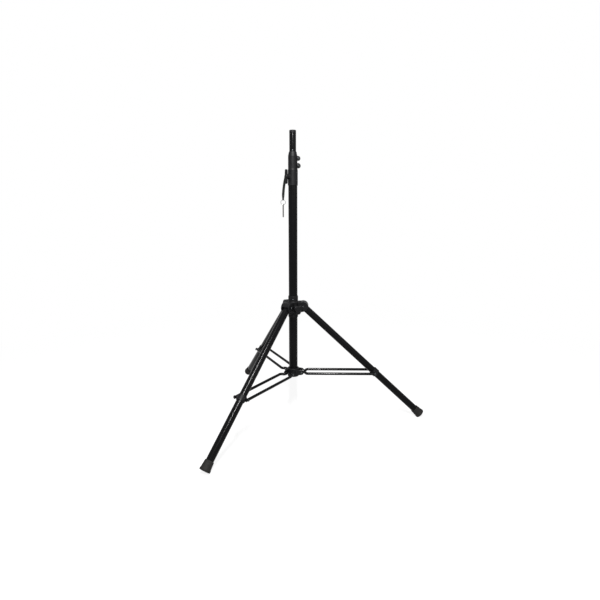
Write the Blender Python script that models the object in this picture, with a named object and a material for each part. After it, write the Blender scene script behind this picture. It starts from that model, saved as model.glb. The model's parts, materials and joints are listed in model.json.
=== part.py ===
"""A heavy-duty tripod stand for a loudspeaker, standing open with its pole down.

The pole axis is vertical. Leg 1 points along +X, legs 2 and 3 follow at 120 and 240 degrees. The
origin is on the floor, in the middle of the stand's footprint. Sizes are in metres.
"""

from math import atan, atan2, cos, hypot, pi, radians, sin, sqrt

import bmesh
import bpy
from mathutils import Euler, Matrix, Vector

# Overall sizes
STAND_HEIGHT = 1.5574  # floor to the top of the pole, with the pole down
FOOT_TOUCH_R = 0.705  # pole axis to where each foot touches the floor
LEG_PIVOT_Z = 0.639  # height of the leg pivots on the sliding collar
HUB_PIVOT_Z = 0.260  # height of the brace pivots on the hub
CLAMP_DISTANCE = 0.549  # leg pivot to brace clamp, along the leg

BEYOND = 0.01  # how far a cutter runs past what it cuts
ROUND = 24  # sides of the large round pieces
SMALL = 10  # sides of bolts and their holes

# Clearances
GAP = 0.0003  # between pieces that are fitted together
RUNNING_FIT = 0.0004  # between the sliding collar and the tube
SWING_FIT = 0.0006  # beside a piece that swings between two cheeks

# Tubes and rods
POLE_D = 0.035
POLE_WALL = 0.002
POLE_LENGTH = 1.150
POLE_SHOWN = 0.1054  # length of pole above the clamp sleeve, with the pole down
BUSH_WALL = 0.0037
TUBE_WALL = 0.002
LEG_D = 0.0381
LEG_WALL = 0.0015
ROD_D = 0.015
POLE_R = POLE_D / 2
TUBE_BORE_R = POLE_R + GAP + BUSH_WALL + GAP
TUBE_R = TUBE_BORE_R + TUBE_WALL
LEG_R = LEG_D / 2
ROD_R = ROD_D / 2

# Clamp sleeve on top of the tube
TAPER_LENGTH = 0.022
NECK_LENGTH = 0.064
SKIRT_LENGTH = 0.083
SKIRT_WALL = 0.0019
NECK_R = POLE_R + 0.00675
SHOULDER = 0.006  # thickness of the sleeve over the tube's end
SLEEVE_TOP_Z = STAND_HEIGHT - POLE_SHOWN
NECK_TOP_Z = SLEEVE_TOP_Z - TAPER_LENGTH
SKIRT_TOP_Z = NECK_TOP_Z - NECK_LENGTH
SLEEVE_BOTTOM_Z = SKIRT_TOP_Z - SKIRT_LENGTH
TUBE_TOP_Z = SKIRT_TOP_Z - SHOULDER
SKIRT_R = TUBE_R + GAP + SKIRT_WALL
SLIT_WIDTH = 0.003
EAR_HALF = 0.009  # half the thickness of the two clamping ears together
PINCH_BOLT_R = 0.0025
PINCH_HEAD_R = 0.0042
PINCH_HEAD = 0.005
PINCH_NUT_R = 0.0046
PINCH_NUT = 0.004
PINCH_X = POLE_R + 0.0105  # pinch bolts, out from the pole axis
UPPER_EAR_R = 0.0115
LOWER_EAR_R = 0.013
UPPER_EAR_Z = NECK_TOP_Z - UPPER_EAR_R
LOWER_EAR_Z = SKIRT_TOP_Z + LOWER_EAR_R + 0.003

# Pole lock
LOCK_AZIMUTH = radians(218)
LOCK_Z = SLEEVE_BOTTOM_Z + 0.0435
LOCK_BOSS_R = 0.013
LOCK_BOSS_END = SKIRT_R + 0.007
STUD_R = 0.004
SHOE_R = 0.005
SHOE_OUT = sqrt((TUBE_BORE_R - GAP)**2 - SHOE_R**2) - GAP  # its outer face, clear of the tube's curve
WING_HALF_LENGTH = 0.0365
WING_HALF_WIDTH = 0.0065
WING_DEPTH = 0.009
LOCK_HUB_R = 0.0115
LOCK_HUB_DEPTH = 0.015
KNOB_BORE_DEPTH = 0.009

# Lanyard with the safety pin
STRAP_WIDTH = 0.014
STRAP_THICKNESS = 0.0016
STRAP_LOOP_WIDTH = 0.009
STRAP_Y = 0.0089
STRAP_LENGTH = 0.1185  # rivet to the ring's wire, straight down
STRAP_EAR_THICKNESS = 0.004
STRAP_EAR_R = 0.0065
RIVET_X = -(SKIRT_R + 0.012)
RIVET_Z = LOCK_Z + 0.0015
RIVET_R = 0.002
RIVET_HEAD_R = 0.0045
RIVET_TAIL_R = 0.0038
STRAP_LEAN = 0.014  # how far the ring hangs outside the rivet
RING_R = 0.0125
RING_WIRE_R = 0.0011
PIN_R = 0.0035
PIN_LENGTH = 0.070
PIN_EYE_R = 0.0022
RING_X = RIVET_X - STRAP_LEAN
RING_TOP_Z = RIVET_Z - STRAP_LENGTH

# Sliding leg collar
BARREL_WALL = 0.0068
NECK_WALL = 0.0026
COLLAR_BORE_R = TUBE_R + RUNNING_FIT
BARREL_R = COLLAR_BORE_R + BARREL_WALL
COLLAR_NECK_R = COLLAR_BORE_R + NECK_WALL
LEG_CLEARANCE = 0.00495  # between the barrel and a leg folded beside it
LEG_PIVOT_R = BARREL_R + LEG_R + LEG_CLEARANCE
CHEEK = 0.0055
CHEEK_IN = LEG_R + SWING_FIT
CHEEK_OUT = CHEEK_IN + CHEEK
HOOD_IN_R = LEG_R + 0.0045
HOOD_OUT_R = HOOD_IN_R + 0.0045
COLLAR_NECK_LENGTH = 0.030
COLLAR_SKIRT_LENGTH = 0.020
BARREL_TOP_Z = LEG_PIVOT_Z + HOOD_OUT_R
COLLAR_TOP_Z = BARREL_TOP_Z + COLLAR_NECK_LENGTH
BARREL_BOTTOM_Z = LEG_PIVOT_Z - 0.040
COLLAR_BOTTOM_Z = BARREL_BOTTOM_Z - COLLAR_SKIRT_LENGTH
COLLAR_KNOB_AZIMUTH = radians(300)
COLLAR_KNOB_Z = LEG_PIVOT_Z - 0.007
COLLAR_BOSS_R = 0.012
COLLAR_BOSS_END = BARREL_R + 0.0233
COLLAR_KNOB_R = 0.0225
COLLAR_KNOB_LOBE = 0.0055
COLLAR_KNOB_DEPTH = 0.019

# Legs, feet and brace clamps
PIVOT_BOLT_R = 0.004
BOLT_HEAD_R = 0.0068
BOLT_HEAD = 0.0045
LEG_TOP = 0.0105  # leg tube above its pivot
PLUG_DEPTH = 0.030
PLUG_DOME = 0.0042
FOOT_LENGTH = 0.048
FOOT_WALL = 0.0026
FOOT_BASE_R = LEG_R + 0.0075
FOOT_SOLE = 0.006  # rubber under the end of the leg tube
FOOT_FLAT = 0.0028  # how much of the foot's corner is flattened on the floor
CLAMP_LENGTH = 0.030
CLAMP_WALL = 0.0037
CLAMP_HALF = LEG_R + 0.00915  # middle of the leg to the face of a clamp boss
CLAMP_BOSS_R = 0.009
CLAMP_HOLE_DEPTH = 0.006
BRACE_SCREW_R = 0.003
BRACE_HEAD_R = 0.0058
BRACE_HEAD = 0.004

# Hub and braces
HUB_RING_WALL = 0.0079
HUB_BORE_R = TUBE_R + GAP
HUB_R = HUB_BORE_R + HUB_RING_WALL
HUB_HALF_HEIGHT = 0.024
HUB_BOTTOM_Z = HUB_PIVOT_Z - HUB_HALF_HEIGHT
HUB_TOP_Z = HUB_PIVOT_Z + HUB_HALF_HEIGHT
ROD_CLEARANCE = 0.0065  # between the hub's ring and a rod folded beside it
HUB_PIVOT_R = HUB_R + ROD_R + ROD_CLEARANCE
ROD_IN = ROD_R + 0.005  # rods from the brace's middle plane, at the hub
ROD_OUT = CLAMP_HALF + RUNNING_FIT + ROD_R  # and along the rest of the brace
ROD_BEND_R = 0.014
ROD_BEND_START = 0.0110  # hub pivot to the start of the bend
ROD_INNER_END = 0.009
ROD_OUTER_END = 0.010
HUB_CHEEK_IN = ROD_IN + ROD_R + 2 * SWING_FIT
HUB_CHEEK = 0.0055
HUB_CHEEK_OUT = HUB_CHEEK_IN + HUB_CHEEK
HUB_CHEEK_R = 0.0125
END_PLUG_FLANGE = 0.004
END_PLUG_DEPTH = 0.020  # plug inside the tube
TUBE_BOTTOM_Z = HUB_BOTTOM_Z + END_PLUG_FLANGE
HUB_SCREW_AZIMUTH = radians(180)
HUB_SCREW_SEAT = HUB_R + 0.0025  # face of the boss under the hub's screw
HUB_SCREW_BOSS_R = 0.006

# The leg leans so that its foot's flattened rim meets the floor
TOUCH_DISTANCE = hypot(FOOT_TOUCH_R - LEG_PIVOT_R, LEG_PIVOT_Z + FOOT_FLAT)
LEG_LENGTH = sqrt(TOUCH_DISTANCE**2 - FOOT_BASE_R**2)
LEG_LEAN = atan2(FOOT_TOUCH_R - LEG_PIVOT_R, LEG_PIVOT_Z + FOOT_FLAT) + atan(FOOT_BASE_R / LEG_LENGTH)
CLAMP_R = LEG_PIVOT_R + CLAMP_DISTANCE * sin(LEG_LEAN)
CLAMP_Z = LEG_PIVOT_Z - CLAMP_DISTANCE * cos(LEG_LEAN)
BRACE_LENGTH = hypot(CLAMP_R - HUB_PIVOT_R, CLAMP_Z - HUB_PIVOT_Z)
BRACE_RISE = atan2(CLAMP_Z - HUB_PIVOT_Z, CLAMP_R - HUB_PIVOT_R)
LEG_AZIMUTHS = [radians(120 * i) for i in range(3)]

# Screws
STOP_SCREW_HEAD_R = 0.0045
STOP_SCREW_Z = SLEEVE_TOP_Z + GAP + STOP_SCREW_HEAD_R
SCREW_R = 0.0025
SCREW_HEAD = 0.0028
COLLAR_SCREW_AZIMUTH = radians(272)
COLLAR_SCREW_Z = BARREL_TOP_Z + 0.0115

# Pole fittings
CAP_HEIGHT = 0.0144
POLE_TOP_Z = STAND_HEIGHT - CAP_HEIGHT
POLE_BOTTOM_Z = STAND_HEIGHT - POLE_LENGTH
POLE_FOOT_FLANGE = 0.012
POLE_PLUG_DEPTH = 0.022  # plugs inside both ends of the pole
PIN_HOLE_R = PIN_R + 0.0004
PIN_HOLE_PITCH = 0.120
PIN_HOLE_TOP_Z = SLEEVE_TOP_Z - 0.060
PIN_HOLES = 4

for old in list(bpy.data.objects):
    bpy.data.objects.remove(old)


def material(name, colour, roughness, metallic=0.0):
    made = bpy.data.materials.new(name)
    made.use_nodes = True
    shader = made.node_tree.nodes["Principled BSDF"]
    shader.inputs["Base Color"].default_value = (*colour, 1.0)
    shader.inputs["Roughness"].default_value = roughness
    shader.inputs["Metallic"].default_value = metallic
    return made


BLACK_PAINT = material("black_paint", (0.012, 0.012, 0.013), 0.35)
BLACK_NYLON = material("black_nylon", (0.014, 0.014, 0.014), 0.5)
WHITE_NYLON = material("pale_nylon", (0.55, 0.54, 0.50), 0.5)
RUBBER = material("grey_rubber", (0.045, 0.042, 0.038), 0.8)
ZINC = material("zinc_plate", (0.45, 0.45, 0.44), 0.35, 1.0)
STEEL = material("bright_steel", (0.55, 0.55, 0.54), 0.25, 1.0)
WEBBING = material("black_webbing", (0.02, 0.02, 0.02), 0.9)


# Meshes

def mesh_of(points, faces):
    """A mesh of the given faces, all turned outward."""
    shape = bmesh.new()
    corners = [shape.verts.new(p) for p in points]
    for face in faces:
        shape.faces.new([corners[i] for i in face])
    bmesh.ops.recalc_face_normals(shape, faces=shape.faces)
    mesh = bpy.data.meshes.new("mesh")
    shape.to_mesh(mesh)
    shape.free()
    return mesh


def stacked(rings, closed=False):
    """A skin over rings of equally many points, with flat ends unless the last ring meets the first."""
    count = len(rings[0])
    points = [p for ring in rings for p in ring]
    last = len(rings) if closed else len(rings) - 1
    faces = []
    for i in range(last):
        a, b = i * count, (i + 1) % len(rings) * count
        for j in range(count):
            k = (j + 1) % count
            faces.append((a + j, a + k, b + k, b + j))
    if not closed:
        faces += [tuple(range(count)), tuple(range(len(points) - count, len(points)))]
    return mesh_of(points, faces)


def circle(radius, z, sides):
    return [(radius * cos(2 * pi * i / sides), radius * sin(2 * pi * i / sides), z) for i in range(sides)]


def turned(outline, sides=ROUND):
    """A solid turned about Z from (radius, height) points, with flat ends."""
    return stacked([circle(radius, z, sides) for radius, z in outline])


def sleeve(outline, sides=ROUND):
    """A hollow piece turned about Z from a closed outline of (radius, height) points."""
    return stacked([circle(radius, z, sides) for radius, z in outline], closed=True)


def rod(radius, start, end, sides=SMALL):
    return turned([(radius, start), (radius, end)], sides)


def slab(outline, low, high):
    """A plate with an outline of (x, z) points, from y = low to y = high."""
    return stacked([[(x, y, z) for x, z in outline] for y in (low, high)])


def arc(x, z, radius, start, end, steps):
    """Points on an arc, from one angle in degrees to another."""
    angles = [radians(start + (end - start) * i / steps) for i in range(steps + 1)]
    return [(x + radius * cos(a), z + radius * sin(a)) for a in angles]


def moved(mesh, place=(0, 0, 0), turn=(0, 0, 0)):
    mesh.transform(Matrix.Translation(place) @ Euler(turn).to_matrix().to_4x4())
    return mesh


def across(mesh, x=0.0, z=0.0):
    """A piece turned about Z laid along Y, at the given x and z."""
    return moved(mesh, (x, 0, z), (-pi / 2, 0, 0))


def radial(mesh, azimuth, z):
    """A piece turned about Z laid along a radius of the pole, at the given height."""
    return moved(mesh, (0, 0, z), (0, pi / 2, azimuth))


def around(mesh, azimuth):
    return moved(mesh, turn=(0, 0, azimuth))


def combined(mesh, other, operation):
    body, tool = (bpy.data.objects.new("blank", m) for m in (mesh, other))
    for each in (body, tool):
        bpy.context.scene.collection.objects.link(each)
    step = body.modifiers.new("step", "BOOLEAN")
    step.operation = operation
    step.object = tool
    graph = bpy.context.evaluated_depsgraph_get()
    result = bpy.data.meshes.new_from_object(body.evaluated_get(graph))
    for each in (body, tool):
        bpy.data.objects.remove(each)
    return result


def joined(mesh, *others):
    for other in others:
        mesh = combined(mesh, other, "UNION")
    return mesh


def cut(mesh, *tools):
    for tool in tools:
        mesh = combined(mesh, tool, "DIFFERENCE")
    return mesh


def domed(radius, height, base):
    """Rings of a low dome on a disc, as (radius, height) points."""
    return [(radius, base), (radius, base + height * 0.35), (radius * 0.8, base + height * 0.8),
            (radius * 0.4, base + height)]


def empty(name, place, turn=(0, 0, 0)):
    """A named frame for a moving group, set on that group's joint."""
    frame = bpy.data.objects.new(name, None)
    frame.location = place
    frame.rotation_euler = turn
    bpy.context.scene.collection.objects.link(frame)
    frame.parent = STAND
    return frame


def part(name, mesh, finish, parent=None):
    mesh.materials.clear()
    mesh.materials.append(finish)
    mesh.shade_smooth()
    mesh.set_sharp_from_angle(angle=radians(30))
    piece = bpy.data.objects.new(name, mesh)
    bpy.context.scene.collection.objects.link(piece)
    piece.parent = parent or STAND
    return piece


STAND = bpy.data.objects.new("stand", None)
bpy.context.scene.collection.objects.link(STAND)


# Fixed tube, and the plug in its foot

def outer_tube():
    tube = sleeve([(TUBE_R, TUBE_TOP_Z), (TUBE_R, TUBE_BOTTOM_Z),
                   (TUBE_BORE_R, TUBE_BOTTOM_Z), (TUBE_BORE_R, TUBE_TOP_Z)])
    lock_hole = radial(rod(STUD_R + GAP, TUBE_BORE_R - 0.003, TUBE_R + 0.003), LOCK_AZIMUTH, LOCK_Z)
    screw_hole = radial(rod(SCREW_R + GAP, TUBE_BORE_R - 0.003, TUBE_R + 0.003),
                        HUB_SCREW_AZIMUTH, HUB_PIVOT_Z)
    return cut(tube, lock_hole, screw_hole)


def tube_end_plug():
    inner = TUBE_BORE_R - GAP
    return turned([(inner - 0.002, TUBE_BOTTOM_Z + END_PLUG_DEPTH),
                   (inner, TUBE_BOTTOM_Z + END_PLUG_DEPTH - 0.004),
                   (inner, TUBE_BOTTOM_Z - GAP), (TUBE_R, TUBE_BOTTOM_Z - GAP),
                   (TUBE_R, HUB_BOTTOM_Z + 0.001), (TUBE_R - 0.001, HUB_BOTTOM_Z)])


# Clamp sleeve: a split casting that seats on the tube and closes round the pole

def clamp_ear(radius, z):
    outline = arc(PINCH_X, z, radius, -90, 90, 8)
    return slab(outline + [(POLE_R + 0.003, z + radius), (POLE_R + 0.003, z - radius)], -EAR_HALF, EAR_HALF)


def strap_ear():
    end = arc(RIVET_X, RIVET_Z, STRAP_EAR_R, 90, 270, 8)
    root = -(TUBE_R - 0.006)
    low = STRAP_Y + STRAP_THICKNESS / 2 + GAP
    return slab(end + [(root, RIVET_Z - 0.009), (root, RIVET_Z + 0.009)], low, low + STRAP_EAR_THICKNESS)


def clamp_sleeve():
    body = turned([(POLE_R + 0.0021, SLEEVE_TOP_Z), (NECK_R, NECK_TOP_Z), (NECK_R, SKIRT_TOP_Z),
                   (SKIRT_R, SKIRT_TOP_Z - 0.004), (SKIRT_R, SLEEVE_BOTTOM_Z)])
    boss = radial(turned([(LOCK_BOSS_R, TUBE_R - 0.004), (LOCK_BOSS_R, LOCK_BOSS_END - 0.001),
                          (LOCK_BOSS_R - 0.001, LOCK_BOSS_END)], 24), LOCK_AZIMUTH, LOCK_Z)
    body = joined(body, clamp_ear(UPPER_EAR_R, UPPER_EAR_Z), clamp_ear(LOWER_EAR_R, LOWER_EAR_Z),
                  boss, strap_ear())
    tube_bore = rod(TUBE_R + GAP, SLEEVE_BOTTOM_Z - BEYOND, TUBE_TOP_Z + GAP, ROUND)
    pole_bore = rod(POLE_R + GAP, SLEEVE_BOTTOM_Z - BEYOND, SLEEVE_TOP_Z + BEYOND, ROUND)
    slit = slab([(POLE_R - 0.004, SKIRT_TOP_Z), (PINCH_X + 0.02, SKIRT_TOP_Z),
                 (PINCH_X + 0.02, SLEEVE_TOP_Z + BEYOND), (POLE_R - 0.004, SLEEVE_TOP_Z + BEYOND)],
                -SLIT_WIDTH / 2, SLIT_WIDTH / 2)
    bolt_holes = [across(rod(PINCH_BOLT_R + GAP, -0.03, 0.03), PINCH_X, z)
                  for z in (UPPER_EAR_Z, LOWER_EAR_Z)]
    lock_hole = radial(rod(STUD_R + GAP, POLE_R, LOCK_BOSS_END + BEYOND), LOCK_AZIMUTH, LOCK_Z)
    rivet_hole = moved(across(rod(RIVET_R + GAP, 0.0, 0.02)), (RIVET_X, 0, RIVET_Z))
    return cut(body, tube_bore, pole_bore, slit, *bolt_holes, lock_hole, rivet_hole)


def pinch_bolt(z):
    head = EAR_HALF + GAP
    outline = [(PINCH_HEAD_R - 0.0007, -head - PINCH_HEAD), (PINCH_HEAD_R, -head - PINCH_HEAD + 0.0008),
               (PINCH_HEAD_R, -head), (PINCH_BOLT_R, -head),
               (PINCH_BOLT_R, EAR_HALF + GAP + PINCH_NUT + 0.0017)]
    return across(turned(outline, SMALL), PINCH_X, z)


def pinch_nut(z):
    low, high = EAR_HALF + GAP, EAR_HALF + GAP + PINCH_NUT
    bore = rod(PINCH_BOLT_R + GAP, low - BEYOND, high + BEYOND)
    nut = cut(turned([(PINCH_NUT_R, low), (PINCH_NUT_R, high)], 6), bore)
    return across(nut, PINCH_X, z)


def guide_bush():
    low, high = SLEEVE_BOTTOM_Z + 0.007, TUBE_TOP_Z - 0.001
    inner, outer = POLE_R + GAP, TUBE_BORE_R - GAP
    bush = sleeve([(outer, high), (outer, low), (inner, low), (inner, high)])
    return cut(bush, radial(rod(SHOE_R + GAP, POLE_R - 0.004, TUBE_R + 0.004), LOCK_AZIMUTH, LOCK_Z))


# Pole lock: a T-handled screw that presses a shoe on the pole

def brake_shoe():
    return radial(rod(SHOE_R, POLE_R + GAP, SHOE_OUT), LOCK_AZIMUTH, LOCK_Z)


def stud(tip, boss_end):
    """A chamfered stud along +Z, from its tip to the bottom of the bore in its knob."""
    end = boss_end + GAP + KNOB_BORE_DEPTH
    return turned([(STUD_R - 0.001, tip), (STUD_R, tip + 0.001), (STUD_R, end - 0.001),
                   (STUD_R - 0.001, end)], SMALL)


def lock_handle():
    base = LOCK_BOSS_END + GAP
    top = base + LOCK_HUB_DEPTH
    boss = turned([(LOCK_HUB_R - 0.001, base), (LOCK_HUB_R, base + 0.001), (LOCK_HUB_R - 0.001, top - 0.003),
                   (LOCK_HUB_R - 0.003, top - 0.0008), (LOCK_HUB_R - 0.0075, top)], ROUND)
    tip = WING_HALF_LENGTH - WING_HALF_WIDTH
    end = arc(tip, 0, WING_HALF_WIDTH, -90, 90, 6)
    waist = [(0.010, WING_HALF_WIDTH + 0.0013), (-0.010, WING_HALF_WIDTH + 0.0013)]
    outline = end + waist + [(-x, -y) for x, y in end] + [(-x, -y) for x, y in waist]
    low = base + 0.0035
    rings = []
    for height, size in ((0.0, 0.90), (0.001, 1.0), (WING_DEPTH - 0.0015, 1.0), (WING_DEPTH, 0.90)):
        z = low + height
        rings.append([(x * size, y * size, z) for x, y in outline])
    bore = rod(STUD_R + GAP, base - BEYOND, base + KNOB_BORE_DEPTH + GAP)
    return cut(joined(boss, stacked(rings)), bore)


# Lanyard: a webbing strap riveted to the clamp sleeve, with a ring and the safety pin

def strap_middle(drop):
    """Middle of the strap, out from the rivet and down from it, at a share of its length."""
    return (-STRAP_LEAN * (1 - (1 - drop) ** 2), -STRAP_LENGTH * drop)


def strap():
    start, steps = -0.055, 10
    rings = []
    for i in range(steps + 1):
        drop = start + (1 - start) * i / steps
        x, z = strap_middle(max(drop, 0.0))
        z -= STRAP_LENGTH * min(drop, 0.0)
        narrow = max(0.0, (drop - 0.8) / 0.2)
        half = (STRAP_WIDTH * (1 - narrow) + STRAP_LOOP_WIDTH * narrow) / 2
        thick = STRAP_THICKNESS / 2
        rings.append([(x - half, -thick, z), (x + half, -thick, z),
                      (x + half, thick, z), (x - half, thick, z)])
    loop_r = PIN_EYE_R + STRAP_THICKNESS
    loop = rod(loop_r, -STRAP_LOOP_WIDTH / 2, STRAP_LOOP_WIDTH / 2)
    loop = moved(loop, (-STRAP_LEAN, 0, -STRAP_LENGTH), (0, pi / 2, 0))
    ring_hole = moved(rod(PIN_EYE_R, -0.02, 0.02), (-STRAP_LEAN, 0, -STRAP_LENGTH), (0, pi / 2, 0))
    rivet_hole = across(rod(RIVET_R + GAP, -0.01, 0.01))
    return cut(joined(stacked(rings), loop), ring_hole, rivet_hole)


def strap_rivet():
    front = -STRAP_THICKNESS / 2 - GAP
    back = STRAP_THICKNESS / 2 + GAP + STRAP_EAR_THICKNESS + GAP
    outline = [(RIVET_HEAD_R - 0.002, front - 0.0018), (RIVET_HEAD_R, front - 0.001), (RIVET_HEAD_R, front),
               (RIVET_R, front), (RIVET_R, back), (RIVET_TAIL_R, back), (RIVET_TAIL_R, back + 0.001),
               (RIVET_TAIL_R - 0.0018, back + 0.0016)]
    return across(turned(outline, SMALL))


def pin_ring():
    rings = []
    steps = 20
    for i in range(steps):
        a = 2 * pi * i / steps
        out = Vector((cos(a), 0, sin(a)))
        middle = out * RING_R - Vector((0, 0, RING_R))
        wire = [2 * pi * j / 6 for j in range(6)]
        rings.append([middle + RING_WIRE_R * (out * cos(t) + Vector((0, sin(t), 0))) for t in wire])
    return stacked(rings, closed=True)


def safety_pin():
    eye = -2 * RING_R
    top = eye + PIN_R + 0.0006
    tip = top - PIN_LENGTH
    body = turned([(0.0018, top), (PIN_R, top - 0.0018), (PIN_R, tip + 0.004), (0.0012, tip)], SMALL)
    return cut(body, moved(rod(PIN_EYE_R, -0.02, 0.02), (0, 0, eye), (0, pi / 2, 0)))


# Sliding pole

def inner_pole():
    inner = POLE_R - POLE_WALL
    pole = sleeve([(POLE_R, POLE_TOP_Z), (POLE_R, POLE_BOTTOM_Z),
                   (inner, POLE_BOTTOM_Z), (inner, POLE_TOP_Z)])
    screw_hole = across(rod(SCREW_R + GAP, -0.03, 0.0), 0, STOP_SCREW_Z)
    pin_holes = []
    for i in range(PIN_HOLES):
        pin_holes.append(across(rod(PIN_HOLE_R, -0.03, 0.03), 0, PIN_HOLE_TOP_Z - PIN_HOLE_PITCH * i))
    return cut(pole, screw_hole, *pin_holes)


def pole_cap():
    inner = POLE_R - POLE_WALL - GAP
    return turned([(POLE_R - 0.0018, STAND_HEIGHT), (POLE_R - 0.0005, STAND_HEIGHT - 0.0006),
                   (POLE_R, STAND_HEIGHT - 0.002), (POLE_R, POLE_TOP_Z + GAP), (inner, POLE_TOP_Z + GAP),
                   (inner, POLE_TOP_Z - POLE_PLUG_DEPTH),
                   (inner - 0.002, POLE_TOP_Z - POLE_PLUG_DEPTH - 0.003)])


def pole_foot_bush():
    plug, flange = POLE_R - POLE_WALL - GAP, TUBE_BORE_R - GAP
    seat = POLE_BOTTOM_Z - GAP
    return turned([(plug - 0.002, seat + POLE_PLUG_DEPTH), (plug, seat + POLE_PLUG_DEPTH - 0.003),
                   (plug, seat), (flange - 0.001, seat),
                   (flange, seat - 0.001), (flange, seat - POLE_FOOT_FLANGE + 0.001),
                   (flange - 0.001, seat - POLE_FOOT_FLANGE)])


def pan_screw(seat, tip):
    """A screw along +Z: its head outside the seat, its shank in to the tip."""
    head = domed(STOP_SCREW_HEAD_R, SCREW_HEAD, seat)[::-1]
    return turned(head + [(SCREW_R, seat), (SCREW_R, tip)], SMALL)


# Sliding leg collar: three hooded clevises on a barrel

def hood():
    """Both cheeks and the roof of one clevis, for the leg along +X."""
    x, z = LEG_PIVOT_R, LEG_PIVOT_Z
    root = COLLAR_BORE_R + 0.002
    roof = arc(x, z, HOOD_OUT_R, 14, 165, 8) + arc(x, z, HOOD_IN_R, 165, 14, 8)
    side = arc(x, z, HOOD_OUT_R, -62, 110, 9) + [(root, z + HOOD_OUT_R - 0.002), (root, z - 0.034)]
    cheeks = [slab(side, CHEEK_IN, CHEEK_OUT), slab(side, -CHEEK_OUT, -CHEEK_IN)]
    return joined(slab(roof, -CHEEK_OUT, CHEEK_OUT), *cheeks)


def leg_collar():
    body = turned([(COLLAR_NECK_R - 0.001, COLLAR_TOP_Z), (COLLAR_NECK_R, COLLAR_TOP_Z - 0.001),
                   (COLLAR_NECK_R, BARREL_TOP_Z), (BARREL_R, BARREL_TOP_Z - 0.003),
                   (BARREL_R, BARREL_BOTTOM_Z), (COLLAR_NECK_R, BARREL_BOTTOM_Z - 0.004),
                   (COLLAR_NECK_R, COLLAR_BOTTOM_Z)])
    boss = radial(rod(COLLAR_BOSS_R, COLLAR_BORE_R + 0.002, COLLAR_BOSS_END, 24),
                  COLLAR_KNOB_AZIMUTH, COLLAR_KNOB_Z)
    body = joined(body, boss, *[around(hood(), a) for a in LEG_AZIMUTHS])
    bore = rod(COLLAR_BORE_R, COLLAR_BOTTOM_Z - BEYOND, COLLAR_TOP_Z + BEYOND, ROUND)
    bolt_holes = [around(across(rod(PIVOT_BOLT_R + GAP, -0.04, 0.04), LEG_PIVOT_R, LEG_PIVOT_Z), a)
                  for a in LEG_AZIMUTHS]
    knob_hole = radial(rod(STUD_R + GAP, TUBE_BORE_R, COLLAR_BOSS_END + BEYOND),
                       COLLAR_KNOB_AZIMUTH, COLLAR_KNOB_Z)
    screw_hole = radial(rod(SCREW_R + GAP, TUBE_BORE_R, COLLAR_NECK_R + BEYOND),
                        COLLAR_SCREW_AZIMUTH, COLLAR_SCREW_Z)
    return cut(body, bore, *bolt_holes, knob_hole, screw_hole)


def collar_knob():
    base = COLLAR_BOSS_END + GAP
    levels = ((0.0, 0.55), (0.16, 0.93), (0.24, 1.0), (0.76, 1.0), (0.92, 0.90), (1.0, 0.70))
    turns = [2 * pi * i / 36 for i in range(36)]
    rings = []
    for height, size in levels:
        reaches = [size * (COLLAR_KNOB_R + COLLAR_KNOB_LOBE * cos(3 * a)) for a in turns]
        rings.append([(reach * cos(a), reach * sin(a), base + height * COLLAR_KNOB_DEPTH)
                      for reach, a in zip(reaches, turns)])
    return cut(stacked(rings), rod(STUD_R + GAP, base - BEYOND, base + KNOB_BORE_DEPTH + GAP))


def pivot_bolt(half):
    """A headed pin along Y through two cheeks whose outer faces are at plus and minus half."""
    seat = half + GAP
    rim = BOLT_HEAD_R * 0.75
    outline = [(rim, -seat - BOLT_HEAD), (BOLT_HEAD_R, -seat - BOLT_HEAD * 0.6), (BOLT_HEAD_R, -seat),
               (PIVOT_BOLT_R, -seat), (PIVOT_BOLT_R, seat), (BOLT_HEAD_R, seat),
               (BOLT_HEAD_R, seat + BOLT_HEAD * 0.6), (rim, seat + BOLT_HEAD)]
    return across(turned(outline, SMALL))


# Legs: in the leg's own frame the pivot is at the origin and the foot points along -Z

def leg_tube():
    inner, end = LEG_R - LEG_WALL, FOOT_SOLE - LEG_LENGTH
    tube = sleeve([(LEG_R, LEG_TOP), (LEG_R, end), (inner, end), (inner, LEG_TOP)])
    return cut(tube, across(rod(PIVOT_BOLT_R + GAP, -0.04, 0.04)))


def leg_plug():
    inner = LEG_R - LEG_WALL - GAP
    seat = LEG_TOP + GAP
    plug = turned([(LEG_R * 0.62, seat + PLUG_DOME), (LEG_R * 0.9, seat + PLUG_DOME * 0.6),
                   (LEG_R, seat + 0.0008), (LEG_R, seat), (inner, seat),
                   (inner, -PLUG_DEPTH + 0.002), (inner - 0.002, -PLUG_DEPTH)])
    return cut(plug, across(rod(PIVOT_BOLT_R + GAP, -0.04, 0.04)))


def foot():
    low, top = -LEG_LENGTH, FOOT_LENGTH - LEG_LENGTH
    bore, mouth = LEG_R + GAP, LEG_R + GAP + FOOT_WALL
    blank = turned([(FOOT_BASE_R - 0.0025, low), (FOOT_BASE_R - 0.0006, low + 0.0008),
                    (FOOT_BASE_R, low + 0.003), (FOOT_BASE_R - 0.0002, low + 0.010),
                    (FOOT_BASE_R - 0.0018, low + 0.014), (mouth + 0.0006, top - 0.006), (mouth, top)])
    blank = cut(blank, rod(bore, low + FOOT_SOLE - GAP, top + BEYOND, ROUND))
    shape = bmesh.new()
    shape.from_mesh(blank)
    floor_normal = Vector((sin(LEG_LEAN), 0, cos(LEG_LEAN)))
    cutting = bmesh.ops.bisect_plane(shape, geom=shape.verts[:] + shape.edges[:] + shape.faces[:],
                                     plane_co=-floor_normal * LEG_PIVOT_Z, plane_no=floor_normal,
                                     clear_inner=True)
    rim = [e for e in cutting["geom_cut"] if isinstance(e, bmesh.types.BMEdge)]
    bmesh.ops.edgeloop_fill(shape, edges=rim)
    shape.to_mesh(blank)
    shape.free()
    return blank


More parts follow.
